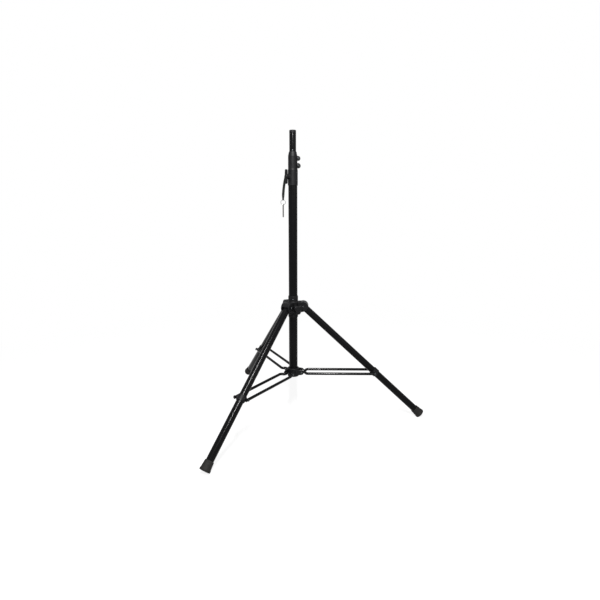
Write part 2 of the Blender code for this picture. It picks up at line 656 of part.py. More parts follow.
def brace_clamp():
    half = CLAMP_LENGTH / 2
    bore, outer = LEG_R + GAP, LEG_R + GAP + CLAMP_WALL
    band = turned([(outer - 0.001, half), (outer, half - 0.001),
                   (outer, -half + 0.001), (outer - 0.001, -half)])
    bosses = across(rod(CLAMP_BOSS_R, -CLAMP_HALF, CLAMP_HALF, 20))
    holes = [across(rod(BRACE_SCREW_R + GAP, s * (CLAMP_HALF - CLAMP_HOLE_DEPTH), s * (CLAMP_HALF + BEYOND)))
             for s in (-1, 1)]
    clamp = cut(joined(band, bosses), rod(bore, -half - BEYOND, half + BEYOND, ROUND), *holes)
    return moved(clamp, (0, 0, -CLAMP_DISTANCE))


# Hub and braces: in a brace's own frame the hub pivot is at the origin and the leg is along +X

def hub():
    ring = turned([(HUB_R - 0.002, HUB_TOP_Z), (HUB_R, HUB_TOP_Z - 0.002), (HUB_R, HUB_BOTTOM_Z + 0.002),
                   (HUB_R - 0.002, HUB_BOTTOM_Z)])
    root = HUB_BORE_R - 0.008
    side = arc(HUB_PIVOT_R, HUB_PIVOT_Z, HUB_CHEEK_R, -90, 90, 8)
    side += [(root, HUB_PIVOT_Z + HUB_CHEEK_R + 0.004), (root, HUB_PIVOT_Z - HUB_CHEEK_R - 0.004)]
    for azimuth in LEG_AZIMUTHS:
        for low in (HUB_CHEEK_IN, -HUB_CHEEK_OUT):
            ring = joined(ring, around(slab(side, low, low + HUB_CHEEK), azimuth))
    boss = radial(rod(HUB_SCREW_BOSS_R, HUB_BORE_R + 0.002, HUB_SCREW_SEAT),
                  HUB_SCREW_AZIMUTH, HUB_PIVOT_Z)
    ring = joined(ring, boss)
    bore = rod(HUB_BORE_R, HUB_BOTTOM_Z - BEYOND, HUB_TOP_Z + BEYOND, ROUND)
    holes = [around(across(rod(PIVOT_BOLT_R + GAP, -0.04, 0.04), HUB_PIVOT_R, HUB_PIVOT_Z), a)
             for a in LEG_AZIMUTHS]
    screw_hole = radial(rod(SCREW_R + GAP, TUBE_BORE_R, HUB_SCREW_SEAT + BEYOND),
                        HUB_SCREW_AZIMUTH, HUB_PIVOT_Z)
    return cut(ring, bore, *holes, screw_hole)


def rod_path():
    """Middle of a brace rod on the +Y side: straight in the hub, out by two arcs, straight to the leg."""
    offset = ROD_OUT - ROD_IN
    turn = 2 * atan(sqrt(offset / (4 * ROD_BEND_R - offset)))
    run = ROD_BEND_R * sin(turn)
    steps = 3
    path = [(-ROD_INNER_END, ROD_IN)]
    for i in range(steps + 1):
        a = turn * i / steps
        path.append((ROD_BEND_START + ROD_BEND_R * sin(a), ROD_IN + ROD_BEND_R * (1 - cos(a))))
    for i in range(1, steps + 1):
        a = turn * (1 - i / steps)
        path.append((ROD_BEND_START + 2 * run - ROD_BEND_R * sin(a), ROD_OUT - ROD_BEND_R * (1 - cos(a))))
    return path + [(BRACE_LENGTH + ROD_OUTER_END, ROD_OUT)]


def brace_rod(side):
    path = [Vector((x, side * y, 0)) for x, y in rod_path()]
    rings = []
    for i, middle in enumerate(path):
        ahead = (path[min(i + 1, len(path) - 1)] - middle).normalized()
        behind = (middle - path[max(i - 1, 0)]).normalized()
        along = (ahead + behind).normalized()
        beside = Vector((-along.y, along.x, 0))
        turns = [2 * pi * j / SMALL for j in range(SMALL)]
        rings.append([middle + beside * ROD_R * cos(t) + Vector((0, 0, ROD_R * sin(t))) for t in turns])
    hub_hole = across(rod(PIVOT_BOLT_R + GAP, -0.06, 0.06))
    leg_hole = across(rod(BRACE_SCREW_R + GAP, -0.06, 0.06), BRACE_LENGTH)
    return cut(stacked(rings), hub_hole, leg_hole)


def brace_screw(side):
    seat = ROD_OUT + ROD_R + GAP
    outline = [(BRACE_HEAD_R - 0.0023, seat + BRACE_HEAD), (BRACE_HEAD_R, seat + BRACE_HEAD - 0.001),
               (BRACE_HEAD_R, seat), (BRACE_SCREW_R, seat), (BRACE_SCREW_R, ROD_OUT - ROD_R)]
    return across(turned([(r, side * y) for r, y in outline], SMALL), BRACE_LENGTH)


# The fixed pieces
part("outer_tube", outer_tube(), BLACK_PAINT)
part("tube_end_plug", tube_end_plug(), BLACK_NYLON)
part("clamp_sleeve", clamp_sleeve(), BLACK_NYLON)
part("pinch_bolt_upper", pinch_bolt(UPPER_EAR_Z), ZINC)
part("pinch_bolt_lower", pinch_bolt(LOWER_EAR_Z), ZINC)
part("pinch_nut_upper", pinch_nut(UPPER_EAR_Z), ZINC)
part("pinch_nut_lower", pinch_nut(LOWER_EAR_Z), ZINC)
part("guide_bush", guide_bush(), WHITE_NYLON)
part("brake_shoe", brake_shoe(), WHITE_NYLON)
part("hub", hub(), BLACK_NYLON)
part("hub_screw", radial(pan_screw(HUB_SCREW_SEAT, TUBE_BORE_R), HUB_SCREW_AZIMUTH, HUB_PIVOT_Z), ZINC)
for number, azimuth in enumerate(LEG_AZIMUTHS, 1):
    pivot = (HUB_PIVOT_R * cos(azimuth), HUB_PIVOT_R * sin(azimuth), HUB_PIVOT_Z)
    HUB_PIVOT = empty(f"hub_pivot_{number}", pivot, (0, 0, azimuth))
    part(f"hub_pivot_bolt_{number}", pivot_bolt(HUB_CHEEK_OUT), ZINC, HUB_PIVOT)

# The sliding pole
POLE = empty("pole", (0, 0, 0))
part("inner_pole", inner_pole(), BLACK_PAINT, POLE)
part("pole_cap", pole_cap(), BLACK_NYLON, POLE)
part("pole_foot_bush", pole_foot_bush(), WHITE_NYLON, POLE)
part("stop_screw", radial(pan_screw(POLE_R, POLE_R - 0.006), radians(270), STOP_SCREW_Z), ZINC, POLE)

# The lock handle turns about its stud
LOCK = empty("pole_lock", (0, 0, LOCK_Z), (0, pi / 2, LOCK_AZIMUTH))
part("lock_handle", lock_handle(), BLACK_NYLON, LOCK)
part("lock_stud", stud(SHOE_OUT + GAP, LOCK_BOSS_END), ZINC, LOCK)

# The rivet is fixed in the sleeve's ear; the strap swings on it, and the ring swings in the strap's loop
RIVET = empty("rivet", (RIVET_X, STRAP_Y, RIVET_Z))
LANYARD = empty("lanyard", (RIVET_X, STRAP_Y, RIVET_Z))
part("strap_rivet", strap_rivet(), ZINC, RIVET)
part("strap", strap(), WEBBING, LANYARD)
PIN = empty("pin", (RING_X, STRAP_Y, RING_TOP_Z))
part("pin_ring", pin_ring(), STEEL, PIN)
part("safety_pin", safety_pin(), STEEL, PIN)

# The leg collar slides up the tube, and its knob locks it
COLLAR = empty("collar", (0, 0, LEG_PIVOT_Z))
moved_down = (0, 0, -LEG_PIVOT_Z)
part("leg_collar", moved(leg_collar(), moved_down), BLACK_NYLON, COLLAR)
collar_screw = radial(pan_screw(COLLAR_NECK_R, COLLAR_BORE_R), COLLAR_SCREW_AZIMUTH, COLLAR_SCREW_Z)
part("collar_screw", moved(collar_screw, moved_down), ZINC, COLLAR)
KNOB = empty("collar_lock", (0, 0, COLLAR_KNOB_Z), (0, pi / 2, COLLAR_KNOB_AZIMUTH))
part("collar_knob", collar_knob(), BLACK_NYLON, KNOB)
part("collar_stud", stud(TUBE_R + GAP, COLLAR_BOSS_END), ZINC, KNOB)

# The three legs and their braces
for number, azimuth in enumerate(LEG_AZIMUTHS, 1):
    pivot = (LEG_PIVOT_R * cos(azimuth), LEG_PIVOT_R * sin(azimuth), LEG_PIVOT_Z)
    LEG = empty(f"leg_{number}", pivot, (0, -LEG_LEAN, azimuth))
    part(f"leg_pivot_bolt_{number}", pivot_bolt(CHEEK_OUT), ZINC, LEG)
    part(f"leg_tube_{number}", leg_tube(), BLACK_PAINT, LEG)
    part(f"leg_plug_{number}", leg_plug(), BLACK_NYLON, LEG)
    part(f"foot_{number}", foot(), RUBBER, LEG)
    part(f"brace_clamp_{number}", brace_clamp(), BLACK_NYLON, LEG)
    pivot = (HUB_PIVOT_R * cos(azimuth), HUB_PIVOT_R * sin(azimuth), HUB_PIVOT_Z)
    BRACE = empty(f"brace_{number}", pivot, (0, -BRACE_RISE, azimuth))
    for side, letter in ((1, "a"), (-1, "b")):
        part(f"brace_rod_{number}{letter}", brace_rod(side), BLACK_PAINT, BRACE)
        part(f"brace_screw_{number}{letter}", brace_screw(side), ZINC, BRACE)

# The origin is the middle of the footprint: feet 2 and 3 reach less far back than foot 1 reaches forward
bpy.context.view_layer.update()
feet = [bpy.data.objects[f"foot_{n}"] for n in (1, 2, 3)]
reach = [(o.matrix_world @ v.co).x for o in feet for v in o.data.vertices]
STAND.location.x = -(min(reach) + max(reach)) / 2
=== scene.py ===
"""A heavy-duty tripod stand for a loudspeaker, piece by piece, in the order in which it is put together."""

import json
from math import atan, atan2, cos, hypot, pi, radians, sin, sqrt

import bmesh
import bpy
from mathutils import Euler, Matrix, Vector


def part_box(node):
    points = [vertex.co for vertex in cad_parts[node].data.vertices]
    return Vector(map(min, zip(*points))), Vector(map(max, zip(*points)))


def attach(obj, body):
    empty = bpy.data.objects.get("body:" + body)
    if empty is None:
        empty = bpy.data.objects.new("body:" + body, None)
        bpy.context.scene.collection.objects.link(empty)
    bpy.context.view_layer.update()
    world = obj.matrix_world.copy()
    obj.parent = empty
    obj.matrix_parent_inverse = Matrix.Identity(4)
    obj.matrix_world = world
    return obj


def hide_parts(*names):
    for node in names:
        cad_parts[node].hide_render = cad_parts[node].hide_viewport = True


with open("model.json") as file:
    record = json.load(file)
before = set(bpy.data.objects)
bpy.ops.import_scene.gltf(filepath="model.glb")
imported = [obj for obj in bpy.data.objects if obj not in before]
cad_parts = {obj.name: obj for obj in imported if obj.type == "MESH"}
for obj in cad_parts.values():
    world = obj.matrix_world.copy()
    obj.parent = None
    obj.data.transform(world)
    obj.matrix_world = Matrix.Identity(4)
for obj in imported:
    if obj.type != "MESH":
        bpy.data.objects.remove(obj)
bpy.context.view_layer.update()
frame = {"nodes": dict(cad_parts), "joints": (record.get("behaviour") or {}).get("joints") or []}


# The fixed tube. Seamless steel, 47.6 mm outside with a 2 mm wall, painted black in one coat and baked.
# It carries the clamp sleeve on its top and the hub and a moulded plug at its foot. It is drawn without
# its holes for the lock's stud and the hub's screw, so both run through its wall, inside sleeve and hub.

def linear(colour):
    """An sRGB hex colour as the linear values that a node's socket takes."""
    parts = [int(colour[i:i + 2], 16) / 255 for i in (1, 3, 5)]
    return (*[p / 12.92 if p <= 0.04045 else ((p + 0.055) / 1.055) ** 2.4 for p in parts], 1.0)


def add(tree, kind, inputs=None, **settings):
    """One node with its settings, and its inputs set to values or linked to other nodes' outputs."""
    node = tree.nodes.new(kind)
    for name, value in settings.items():
        setattr(node, name, value)
    for key, value in (inputs or {}).items():
        if isinstance(value, bpy.types.NodeSocket):
            tree.links.new(value, node.inputs[key])
        else:
            node.inputs[key].default_value = value
    return node


def new_finish(name):
    """An empty finish, its tree, and the piece's own coordinates to lay its patterns on."""
    finish = bpy.data.materials.new(name)
    finish.use_nodes = True
    tree = finish.node_tree
    tree.nodes.clear()
    return finish, tree, add(tree, "ShaderNodeTexCoord").outputs["Object"]


# Baked enamel on steel: near black, semi-gloss and a little uneven, with weak orange peel about 2.5 mm
# from crest to crest and faint upright marks from the sliding collar. Like the other finishes it is darker
# and less shiny than the real one, because the white surround lightens it.
PAINT, tree, place = new_finish("baked_black_enamel_on_steel")
peel = add(tree, "ShaderNodeTexNoise", {"Vector": place, "Scale": 400.0, "Detail": 2.0}).outputs[0]
cloud = add(tree, "ShaderNodeTexNoise", {"Vector": place, "Scale": 22.0, "Detail": 4.0}).outputs[0]
upright = add(tree, "ShaderNodeMapping", {0: place, 3: (1.0, 1.0, 0.012)}).outputs[0]
marks = add(tree, "ShaderNodeTexNoise", {"Vector": upright, "Scale": 620.0, "Detail": 3.0}).outputs[0]
rubbed = add(tree, "ShaderNodeMapRange", {0: marks, 1: 0.60, 2: 0.72, 3: 0.0, 4: 1.0}).outputs[0]
shade = add(tree, "ShaderNodeMix", {0: cloud, 6: linear("#030303"), 7: linear("#050506")},
            data_type="RGBA").outputs[2]
shade = add(tree, "ShaderNodeMix", {0: rubbed, 6: shade, 7: linear("#080809")}, data_type="RGBA").outputs[2]
satin = add(tree, "ShaderNodeMapRange", {0: cloud, 1: 0.3, 2: 0.7, 3: 0.17, 4: 0.22}).outputs[0]
rough = add(tree, "ShaderNodeMath", {0: rubbed, 1: 0.04, 2: satin}, operation="MULTIPLY_ADD").outputs[0]
bump = add(tree, "ShaderNodeBump", {"Strength": 0.03, "Distance": 0.00005, "Height": peel}).outputs[0]
shader = add(tree, "ShaderNodeBsdfPrincipled", {"Base Color": shade, "Roughness": rough, "Normal": bump,
             "IOR": 1.5, "Specular IOR Level": 0.06}).outputs[0]
add(tree, "ShaderNodeOutputMaterial", {0: shader})

# Glass-filled nylon, injection moulded: satin black, finely spark-eroded, a little greyer at worn edges.
NYLON, tree, place = new_finish("glass_filled_black_nylon")
grain = add(tree, "ShaderNodeTexNoise", {"Vector": place, "Scale": 1400.0, "Detail": 3.0}).outputs[0]
flow = add(tree, "ShaderNodeTexNoise", {"Vector": place, "Scale": 60.0, "Detail": 4.0}).outputs[0]
edge = add(tree, "ShaderNodeNewGeometry").outputs["Pointiness"]
worn = add(tree, "ShaderNodeMapRange", {0: edge, 1: 0.54, 2: 0.64, 3: 0.0, 4: 0.6}).outputs[0]
shade = add(tree, "ShaderNodeMix", {0: flow, 6: linear("#050506"), 7: linear("#0A0A0B")},
            data_type="RGBA").outputs[2]
shade = add(tree, "ShaderNodeMix", {0: worn, 6: shade, 7: linear("#161617")}, data_type="RGBA").outputs[2]
satin = add(tree, "ShaderNodeMapRange", {0: flow, 1: 0.3, 2: 0.7, 3: 0.42, 4: 0.56}).outputs[0]
bump = add(tree, "ShaderNodeBump", {"Strength": 0.25, "Distance": 0.00010, "Height": grain}).outputs[0]
shader = add(tree, "ShaderNodeBsdfPrincipled", {"Base Color": shade, "Roughness": satin, "Normal": bump,
             "IOR": 1.53, "Specular IOR Level": 0.08}).outputs[0]
add(tree, "ShaderNodeOutputMaterial", {0: shader})


def new_tree(name, inputs, output):
    """A geometry tree with its inputs and its output named, and what its input node gives."""
    tree = bpy.data.node_groups.new(name, "GeometryNodeTree")
    for socket, kind in inputs.items():
        tree.interface.new_socket(socket, in_out="INPUT", socket_type=f"NodeSocket{kind}")
    tree.interface.new_socket(output, in_out="OUTPUT", socket_type="NodeSocketGeometry")
    return tree, add(tree, "NodeGroupInput").outputs


def close_tree(tree, shape, finish):
    """The end of a tree: its shape made real and given its finish."""
    whole = add(tree, "GeometryNodeRealizeInstances", {0: shape}).outputs[0]
    coated = add(tree, "GeometryNodeSetMaterial", {"Geometry": whole, "Material": finish}).outputs[0]
    add(tree, "NodeGroupOutput", {0: coated})


# A tree that turns a profile about the Z axis, as a lathe does: the profile's points hold radius and height.
DOUBLES = 0.000001  # points nearer than this are one point
LATHE, given = new_tree("lathe", {"Profile": "Geometry", "Sides": "Int", "Finish": "Material"}, "Turned")
count = add(LATHE, "GeometryNodeAttributeDomainSize", {0: given["Profile"]}).outputs["Point Count"]
columns = add(LATHE, "ShaderNodeMath", {0: given["Sides"], 1: 1.0}, operation="ADD").outputs[0]
grid = add(LATHE, "GeometryNodeMeshGrid", {"Vertices X": columns, "Vertices Y": count}).outputs[0]
index = add(LATHE, "GeometryNodeInputIndex").outputs[0]
row = add(LATHE, "ShaderNodeMath", {0: index, 1: count}, operation="MODULO").outputs[0]
share = add(LATHE, "ShaderNodeMath", {0: index, 1: count}, operation="DIVIDE").outputs[0]
column = add(LATHE, "ShaderNodeMath", {0: share}, operation="FLOOR").outputs[0]
spot = add(LATHE, "GeometryNodeInputPosition").outputs[0]
sample = add(LATHE, "GeometryNodeSampleIndex", data_type="FLOAT_VECTOR")
LATHE.links.new(given["Profile"], sample.inputs["Geometry"])
LATHE.links.new(spot, sample.inputs["Value"])
LATHE.links.new(row, sample.inputs["Index"])
split = add(LATHE, "ShaderNodeSeparateXYZ", {0: sample.outputs[0]}).outputs
part_turn = add(LATHE, "ShaderNodeMath", {0: column, 1: given["Sides"]}, operation="DIVIDE").outputs[0]
angle = add(LATHE, "ShaderNodeMath", {0: part_turn, 1: 2 * pi}, operation="MULTIPLY").outputs[0]
axes = []
for operation in ("COSINE", "SINE"):
    wave = add(LATHE, "ShaderNodeMath", {0: angle}, operation=operation).outputs[0]
    axes.append(add(LATHE, "ShaderNodeMath", {0: split[0], 1: wave}, operation="MULTIPLY").outputs[0])
point = add(LATHE, "ShaderNodeCombineXYZ", {0: axes[0], 1: axes[1], 2: split[2]}).outputs[0]
bent = add(LATHE, "GeometryNodeSetPosition", {"Geometry": grid, "Position": point}).outputs[0]
closed = add(LATHE, "GeometryNodeMergeByDistance", {"Geometry": bent, "Distance": DOUBLES}).outputs[0]
close_tree(LATHE, closed, given["Finish"])


def placed(name, data):
    piece = bpy.data.objects.new(name, data)
    bpy.context.scene.collection.objects.link(piece)
    return piece


def baked(piece):
    """The plain mesh that an object's modifiers give. The object itself is removed."""
    graph = bpy.context.evaluated_depsgraph_get()
    mesh = bpy.data.meshes.new_from_object(piece.evaluated_get(graph))
    bpy.data.objects.remove(piece)
    return mesh


def grown(mesh, tree, **values):
    """The plain mesh that a tree grows on a mesh, with its named inputs set."""
    base = placed("blank", mesh)
    growth = base.modifiers.new("growth", "NODES")
    growth.node_group = tree
    for socket in tree.interface.items_tree:
        key = socket.name.replace(" ", "_").lower()
        if socket.in_out == "INPUT" and key in values:
            growth[socket.identifier] = values[key]
    return baked(base)


def faced(mesh):
    """A closed mesh with doubles merged and every face turned outward."""
    shape = bmesh.new()
    shape.from_mesh(mesh)
    bmesh.ops.remove_doubles(shape, verts=shape.verts, dist=2 * DOUBLES)
    bmesh.ops.recalc_face_normals(shape, faces=shape.faces)
    shape.to_mesh(mesh)
    shape.free()
    return mesh


def softened(outline, radius, closed):
    """An outline of (radius, height) points with each corner rounded."""
    points = [Vector(p) for p in outline]
    result = []
    for i, corner in enumerate(points):
        if not closed and i in (0, len(points) - 1):
            result.append(tuple(corner))
            continue
        before, after = points[i - 1] - corner, points[(i + 1) % len(points)] - corner
        back = min(radius, before.length * 0.45, after.length * 0.45)
        start, end = corner + before.normalized() * back, corner + after.normalized() * back
        for t in (0.0, 0.33, 0.67, 1.0):
            result.append(tuple(start * (1 - t) ** 2 + corner * 2 * t * (1 - t) + end * t ** 2))
    return result


def sleeve(outline, finish, sides=96, edge=0.0004, closed=True):
    """A piece turned about Z from its outline, which closes on itself where the piece is hollow."""
    points = [(r, 0.0, z) for r, z in softened(outline, edge, closed)]
    if closed:
        points.append(points[0])
    profile = bpy.data.meshes.new("profile")
    profile.from_pydata(points, [], [])
    return faced(grown(profile, LATHE, sides=sides, finish=finish))


def turned(outline, finish, sides=96, edge=0.0004):
    """A solid piece turned about Z, its two ends closed on the axis."""
    return sleeve([(0.0, outline[0][1]), *outline, (0.0, outline[-1][1])], finish, sides, edge, False)


def moved(mesh, place=(0, 0, 0), turn=(0, 0, 0)):
    mesh.transform(Matrix.Translation(place) @ Euler(turn).to_matrix().to_4x4())
    return mesh


def finished(name, mesh, finish, slot, body, *nodes, sharp=32):
    """The named piece at the origin, in its finish, riding on its body in place of its CAD nodes."""
    mesh.name = name
    mesh.materials.clear()
    mesh.materials.append(finish)
    for face in mesh.polygons:
        face.material_index = 0
    mesh.shade_smooth()
    mesh.set_sharp_from_angle(angle=radians(sharp))
    piece = placed(name, mesh)
    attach(piece, body)
    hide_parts(*nodes)
    return piece


low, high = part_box("inner_pole")
AXIS = (low.x + high.x) / 2
POLE_R = (high.x - low.x) / 2
POLE_BOTTOM_Z, POLE_TOP_Z = low.z, high.z
low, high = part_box("outer_tube")
TUBE_R, TUBE_WALL = (high.x - low.x) / 2, 0.002
TUBE_BOTTOM_Z, TUBE_TOP_Z = low.z, high.z
TUBE_BORE_R = TUBE_R - TUBE_WALL
tube = sleeve([(TUBE_R, TUBE_TOP_Z), (TUBE_R, TUBE_BOTTOM_Z), (TUBE_BORE_R, TUBE_BOTTOM_Z),
               (TUBE_BORE_R, TUBE_TOP_Z)], PAINT)
finished("mast_tube", moved(tube, (AXIS, 0, 0)), PAINT, "black_paint", "stand", "outer_tube")
low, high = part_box("tube_end_plug")
FIT = 0.0003  # clearance between fitted pieces
plug_r = TUBE_BORE_R - FIT
plug = turned([(plug_r - 0.002, high.z), (plug_r, high.z - 0.004), (plug_r, TUBE_BOTTOM_Z - FIT),
               (TUBE_R, TUBE_BOTTOM_Z - FIT), (TUBE_R - 0.0002, low.z + 0.001),
               (TUBE_R - 0.001, low.z)], NYLON)
finished("mast_foot_plug", moved(plug, (AXIS, 0, 0)), NYLON, "black_nylon", "stand", "tube_end_plug")


# The sliding pole. Steel, 35 mm, in the same enamel, with four cross holes for the safety pin.
# A moulded cap closes its top, a natural nylon bush guides its foot in the tube, and a zinc-plated
# screw above the clamp sleeve stops the pole from dropping through.
def combined(mesh, other, operation):
    body, tool = placed("blank", mesh), placed("blank", other)
    step = body.modifiers.new("step", "BOOLEAN")
    step.operation = operation
    step.solver = "MANIFOLD"
    step.object = tool
    result = baked(body)
    bpy.data.objects.remove(tool)
    return result


def joined(mesh, *others):
    for other in others:
        mesh = combined(mesh, other, "UNION")
    return mesh


def cut(mesh, *tools):
    for tool in tools:
        mesh = combined(mesh, tool, "DIFFERENCE")
    return mesh


def rod(radius, start, end, sides=40):
    return turned([(radius, start), (radius, end)], None, sides, 0.0)


def across(mesh, x=0.0, z=0.0):
    """A turned piece laid along Y, at the given x and z."""
    return moved(mesh, (x, 0, z), (-pi / 2, 0, 0))


def radial(mesh, azimuth, z):
    """A turned piece laid along a radius of the pole."""
    return moved(mesh, (0, 0, z), (0, pi / 2, azimuth))


def at_axis(mesh):
    return moved(mesh, (AXIS, 0, 0))


POLE_WALL, PIN_HOLE_R, PIN_HOLE_PITCH, PIN_HOLE_DEPTH = 0.002, 0.0039, 0.120, 0.060
ACROSS_POLE = 0.03  # half the length of a rod that cuts a cross hole
SCREW_R = 0.0025
low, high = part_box("stop_screw")
STOP_SCREW_Z = (low.z + high.z) / 2
low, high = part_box("clamp_sleeve")
SLEEVE_TOP_Z, SLEEVE_BOTTOM_Z = high.z, low.z
inner = POLE_R - POLE_WALL
pole = sleeve([(POLE_R, POLE_TOP_Z), (POLE_R, POLE_BOTTOM_Z), (inner, POLE_BOTTOM_Z), (inner, POLE_TOP_Z)],
              PAINT)
holes = [across(rod(PIN_HOLE_R, -ACROSS_POLE, ACROSS_POLE), 0,
                SLEEVE_TOP_Z - PIN_HOLE_DEPTH - PIN_HOLE_PITCH * i) for i in range(4)]
pole = cut(pole, across(rod(SCREW_R + FIT, -ACROSS_POLE, 0.0), 0, STOP_SCREW_Z), *holes)
finished("sliding_pole", at_axis(pole), PAINT, "black_paint", "pole", "inner_pole")

low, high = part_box("pole_cap")
rim, stem = POLE_TOP_Z + FIT, POLE_R - POLE_WALL - FIT
cap = turned([(POLE_R - 0.0030, high.z), (POLE_R - 0.0008, high.z - 0.0008), (POLE_R, high.z - 0.0028),
              (POLE_R, rim + 0.0006), (POLE_R - 0.0005, rim), (stem, rim), (stem, low.z + 0.003),
              (stem - 0.002, low.z)], NYLON)
finished("pole_top_cap", at_axis(cap), NYLON, "black_nylon", "pole", "pole_cap")

# Natural nylon, moulded: off-white and waxy, a little translucent, faintly dirty where it rubs.
BUSH, tree, place = new_finish("natural_nylon")
cloud = add(tree, "ShaderNodeTexNoise", {"Vector": place, "Scale": 90.0, "Detail": 4.0}).outputs[0]
shade = add(tree, "ShaderNodeMix", {0: cloud, 6: linear("#D6D2C4"), 7: linear("#BDB8A8")},
            data_type="RGBA").outputs[2]
bump = add(tree, "ShaderNodeBump", {"Strength": 0.1, "Distance": 0.0001, "Height": cloud}).outputs[0]
rough = add(tree, "ShaderNodeMapRange", {0: cloud, 1: 0.3, 2: 0.7, 3: 0.4, 4: 0.55}).outputs[0]
shader = add(tree, "ShaderNodeBsdfPrincipled", {"Base Color": shade, "Roughness": rough,
             "Normal": bump}).outputs[0]
add(tree, "ShaderNodeOutputMaterial", {0: shader})

# Bright zinc plate on a pressed steel head: a dark grey, faintly bluish, with a soft clouded shine.
ZINC, tree, place = new_finish("bright_zinc_plated_steel")
cloud = add(tree, "ShaderNodeTexNoise", {"Vector": place, "Scale": 380.0, "Detail": 4.0}).outputs[0]
spangle = add(tree, "ShaderNodeTexVoronoi", {"Vector": place, "Scale": 900.0}).outputs[0]
shade = add(tree, "ShaderNodeMix", {0: cloud, 6: linear("#2E3032"), 7: linear("#3D3F40")},
            data_type="RGBA").outputs[2]
rough = add(tree, "ShaderNodeMapRange", {0: cloud, 1: 0.3, 2: 0.7, 3: 0.26, 4: 0.42}).outputs[0]
bump = add(tree, "ShaderNodeBump", {"Strength": 0.08, "Distance": 0.0001, "Height": spangle}).outputs[0]
shader = add(tree, "ShaderNodeBsdfPrincipled", {"Base Color": shade, "Roughness": rough, "Normal": bump,
             "Metallic": 1.0}).outputs[0]
add(tree, "ShaderNodeOutputMaterial", {0: shader})


def repaint(node, finish):
    """A CAD node that keeps its shape gets its finish."""
    piece = frame["nodes"][node]
    piece.data.materials.clear()
    piece.data.materials.append(finish)


for node in ("pole_foot_bush", "guide_bush", "brake_shoe"):
    repaint(node, BUSH)
for node in ("lock_stud", "collar_stud"):
    repaint(node, ZINC)


def pan_screw(seat, tip):
    """A cross-recessed pan-head screw along +Z."""
    head_r, head = 0.0045, 0.0028
    dome = [(head_r * share, seat + head * rise)
            for share, rise in ((0.3, 1.0), (0.6, 0.93), (0.82, 0.76), (0.95, 0.52), (1.0, 0.25), (1.0, 0.0))]
    screw = turned(dome + [(SCREW_R, seat), (SCREW_R, tip)], ZINC, 48, 0.0002)
    for turn in (0, pi / 2):
        slot = bpy.data.meshes.new("slot")
        half, thin, deep = 0.0024, 0.0004, seat + head - 0.0011
        corners = [(x * half, y * thin, z) for z in (deep, seat + head + 0.002)
                   for x, y in ((-1, -1), (1, -1), (1, 1), (-1, 1))]
        sides = [(0, 1, 2, 3), (4, 5, 6, 7), (0, 1, 5, 4), (1, 2, 6, 5), (2, 3, 7, 6), (3, 0, 4, 7)]
        slot.from_pydata(corners, [], sides)
        screw = cut(screw, moved(faced(slot), turn=(0, 0, turn + radians(20))))
    return screw


screw = radial(pan_screw(POLE_R, POLE_R - 0.006), radians(270), STOP_SCREW_Z)
finished("pole_stop_screw", at_axis(screw), ZINC, "zinc_plate", "pole", "stop_screw")


# The clamp sleeve. One black nylon casting seated on the tube's top: a tapered, slit neck that closes
# on the pole, two round ears drawn together by bolts, a boss for the lock's stud and an ear for the strap.
# Its edges are rounded as they leave the mould.
def slab(outline, low, high):
    """A plate with an outline of (x, z) points, from y = low to y = high."""
    count = len(outline)
    plate = bpy.data.meshes.new("plate")
    corners = [(x, y, z) for y in (low, high) for x, z in outline]
    sides = [(i, (i + 1) % count, count + (i + 1) % count, count + i) for i in range(count)]
    plate.from_pydata(corners, [], sides + [tuple(range(count)), tuple(range(count, 2 * count))])
    return faced(plate)


def arc(x, z, radius, start, end, steps=24):
    angles = [radians(start + (end - start) * i / steps) for i in range(steps + 1)]
    return [(x + radius * cos(a), z + radius * sin(a)) for a in angles]


def moulded(mesh, grid, rounds):
    """The same shape with the soft edges and fillets of a moulding, on an even grid of faces."""
    body = placed("blank", mesh)
    even = body.modifiers.new("even", "REMESH")
    even.mode = "VOXEL"
    even.voxel_size = grid
    soft = body.modifiers.new("soft", "SMOOTH")
    soft.factor, soft.iterations = 0.5, rounds
    return baked(body)


SKIRT_R, NECK_R = TUBE_R + FIT + 0.0019, POLE_R + 0.00675
TAPER_LENGTH, NECK_LENGTH, SLIT_HALF = 0.022, 0.064, 0.0015
NECK_TOP_Z = SLEEVE_TOP_Z - TAPER_LENGTH
SKIRT_TOP_Z = NECK_TOP_Z - NECK_LENGTH
EAR_HALF, EAR_RS, PINCH_X, PINCH_R = 0.009, (0.0115, 0.013), POLE_R + 0.0105, 0.0025
EAR_ZS = (NECK_TOP_Z - EAR_RS[0], SKIRT_TOP_Z + EAR_RS[1] + 0.003)
LOCK_AZIMUTH, LOCK_Z = radians(218), SLEEVE_BOTTOM_Z + 0.0435
LOCK_BOSS_R, LOCK_BOSS_END, STUD_R = 0.013, SKIRT_R + 0.007, 0.004
STRAP_Y, STRAP_THICKNESS, RIVET_R = 0.0089, 0.0016, 0.002
RIVET_X, RIVET_Z = -(SKIRT_R + 0.012), LOCK_Z + 0.0015

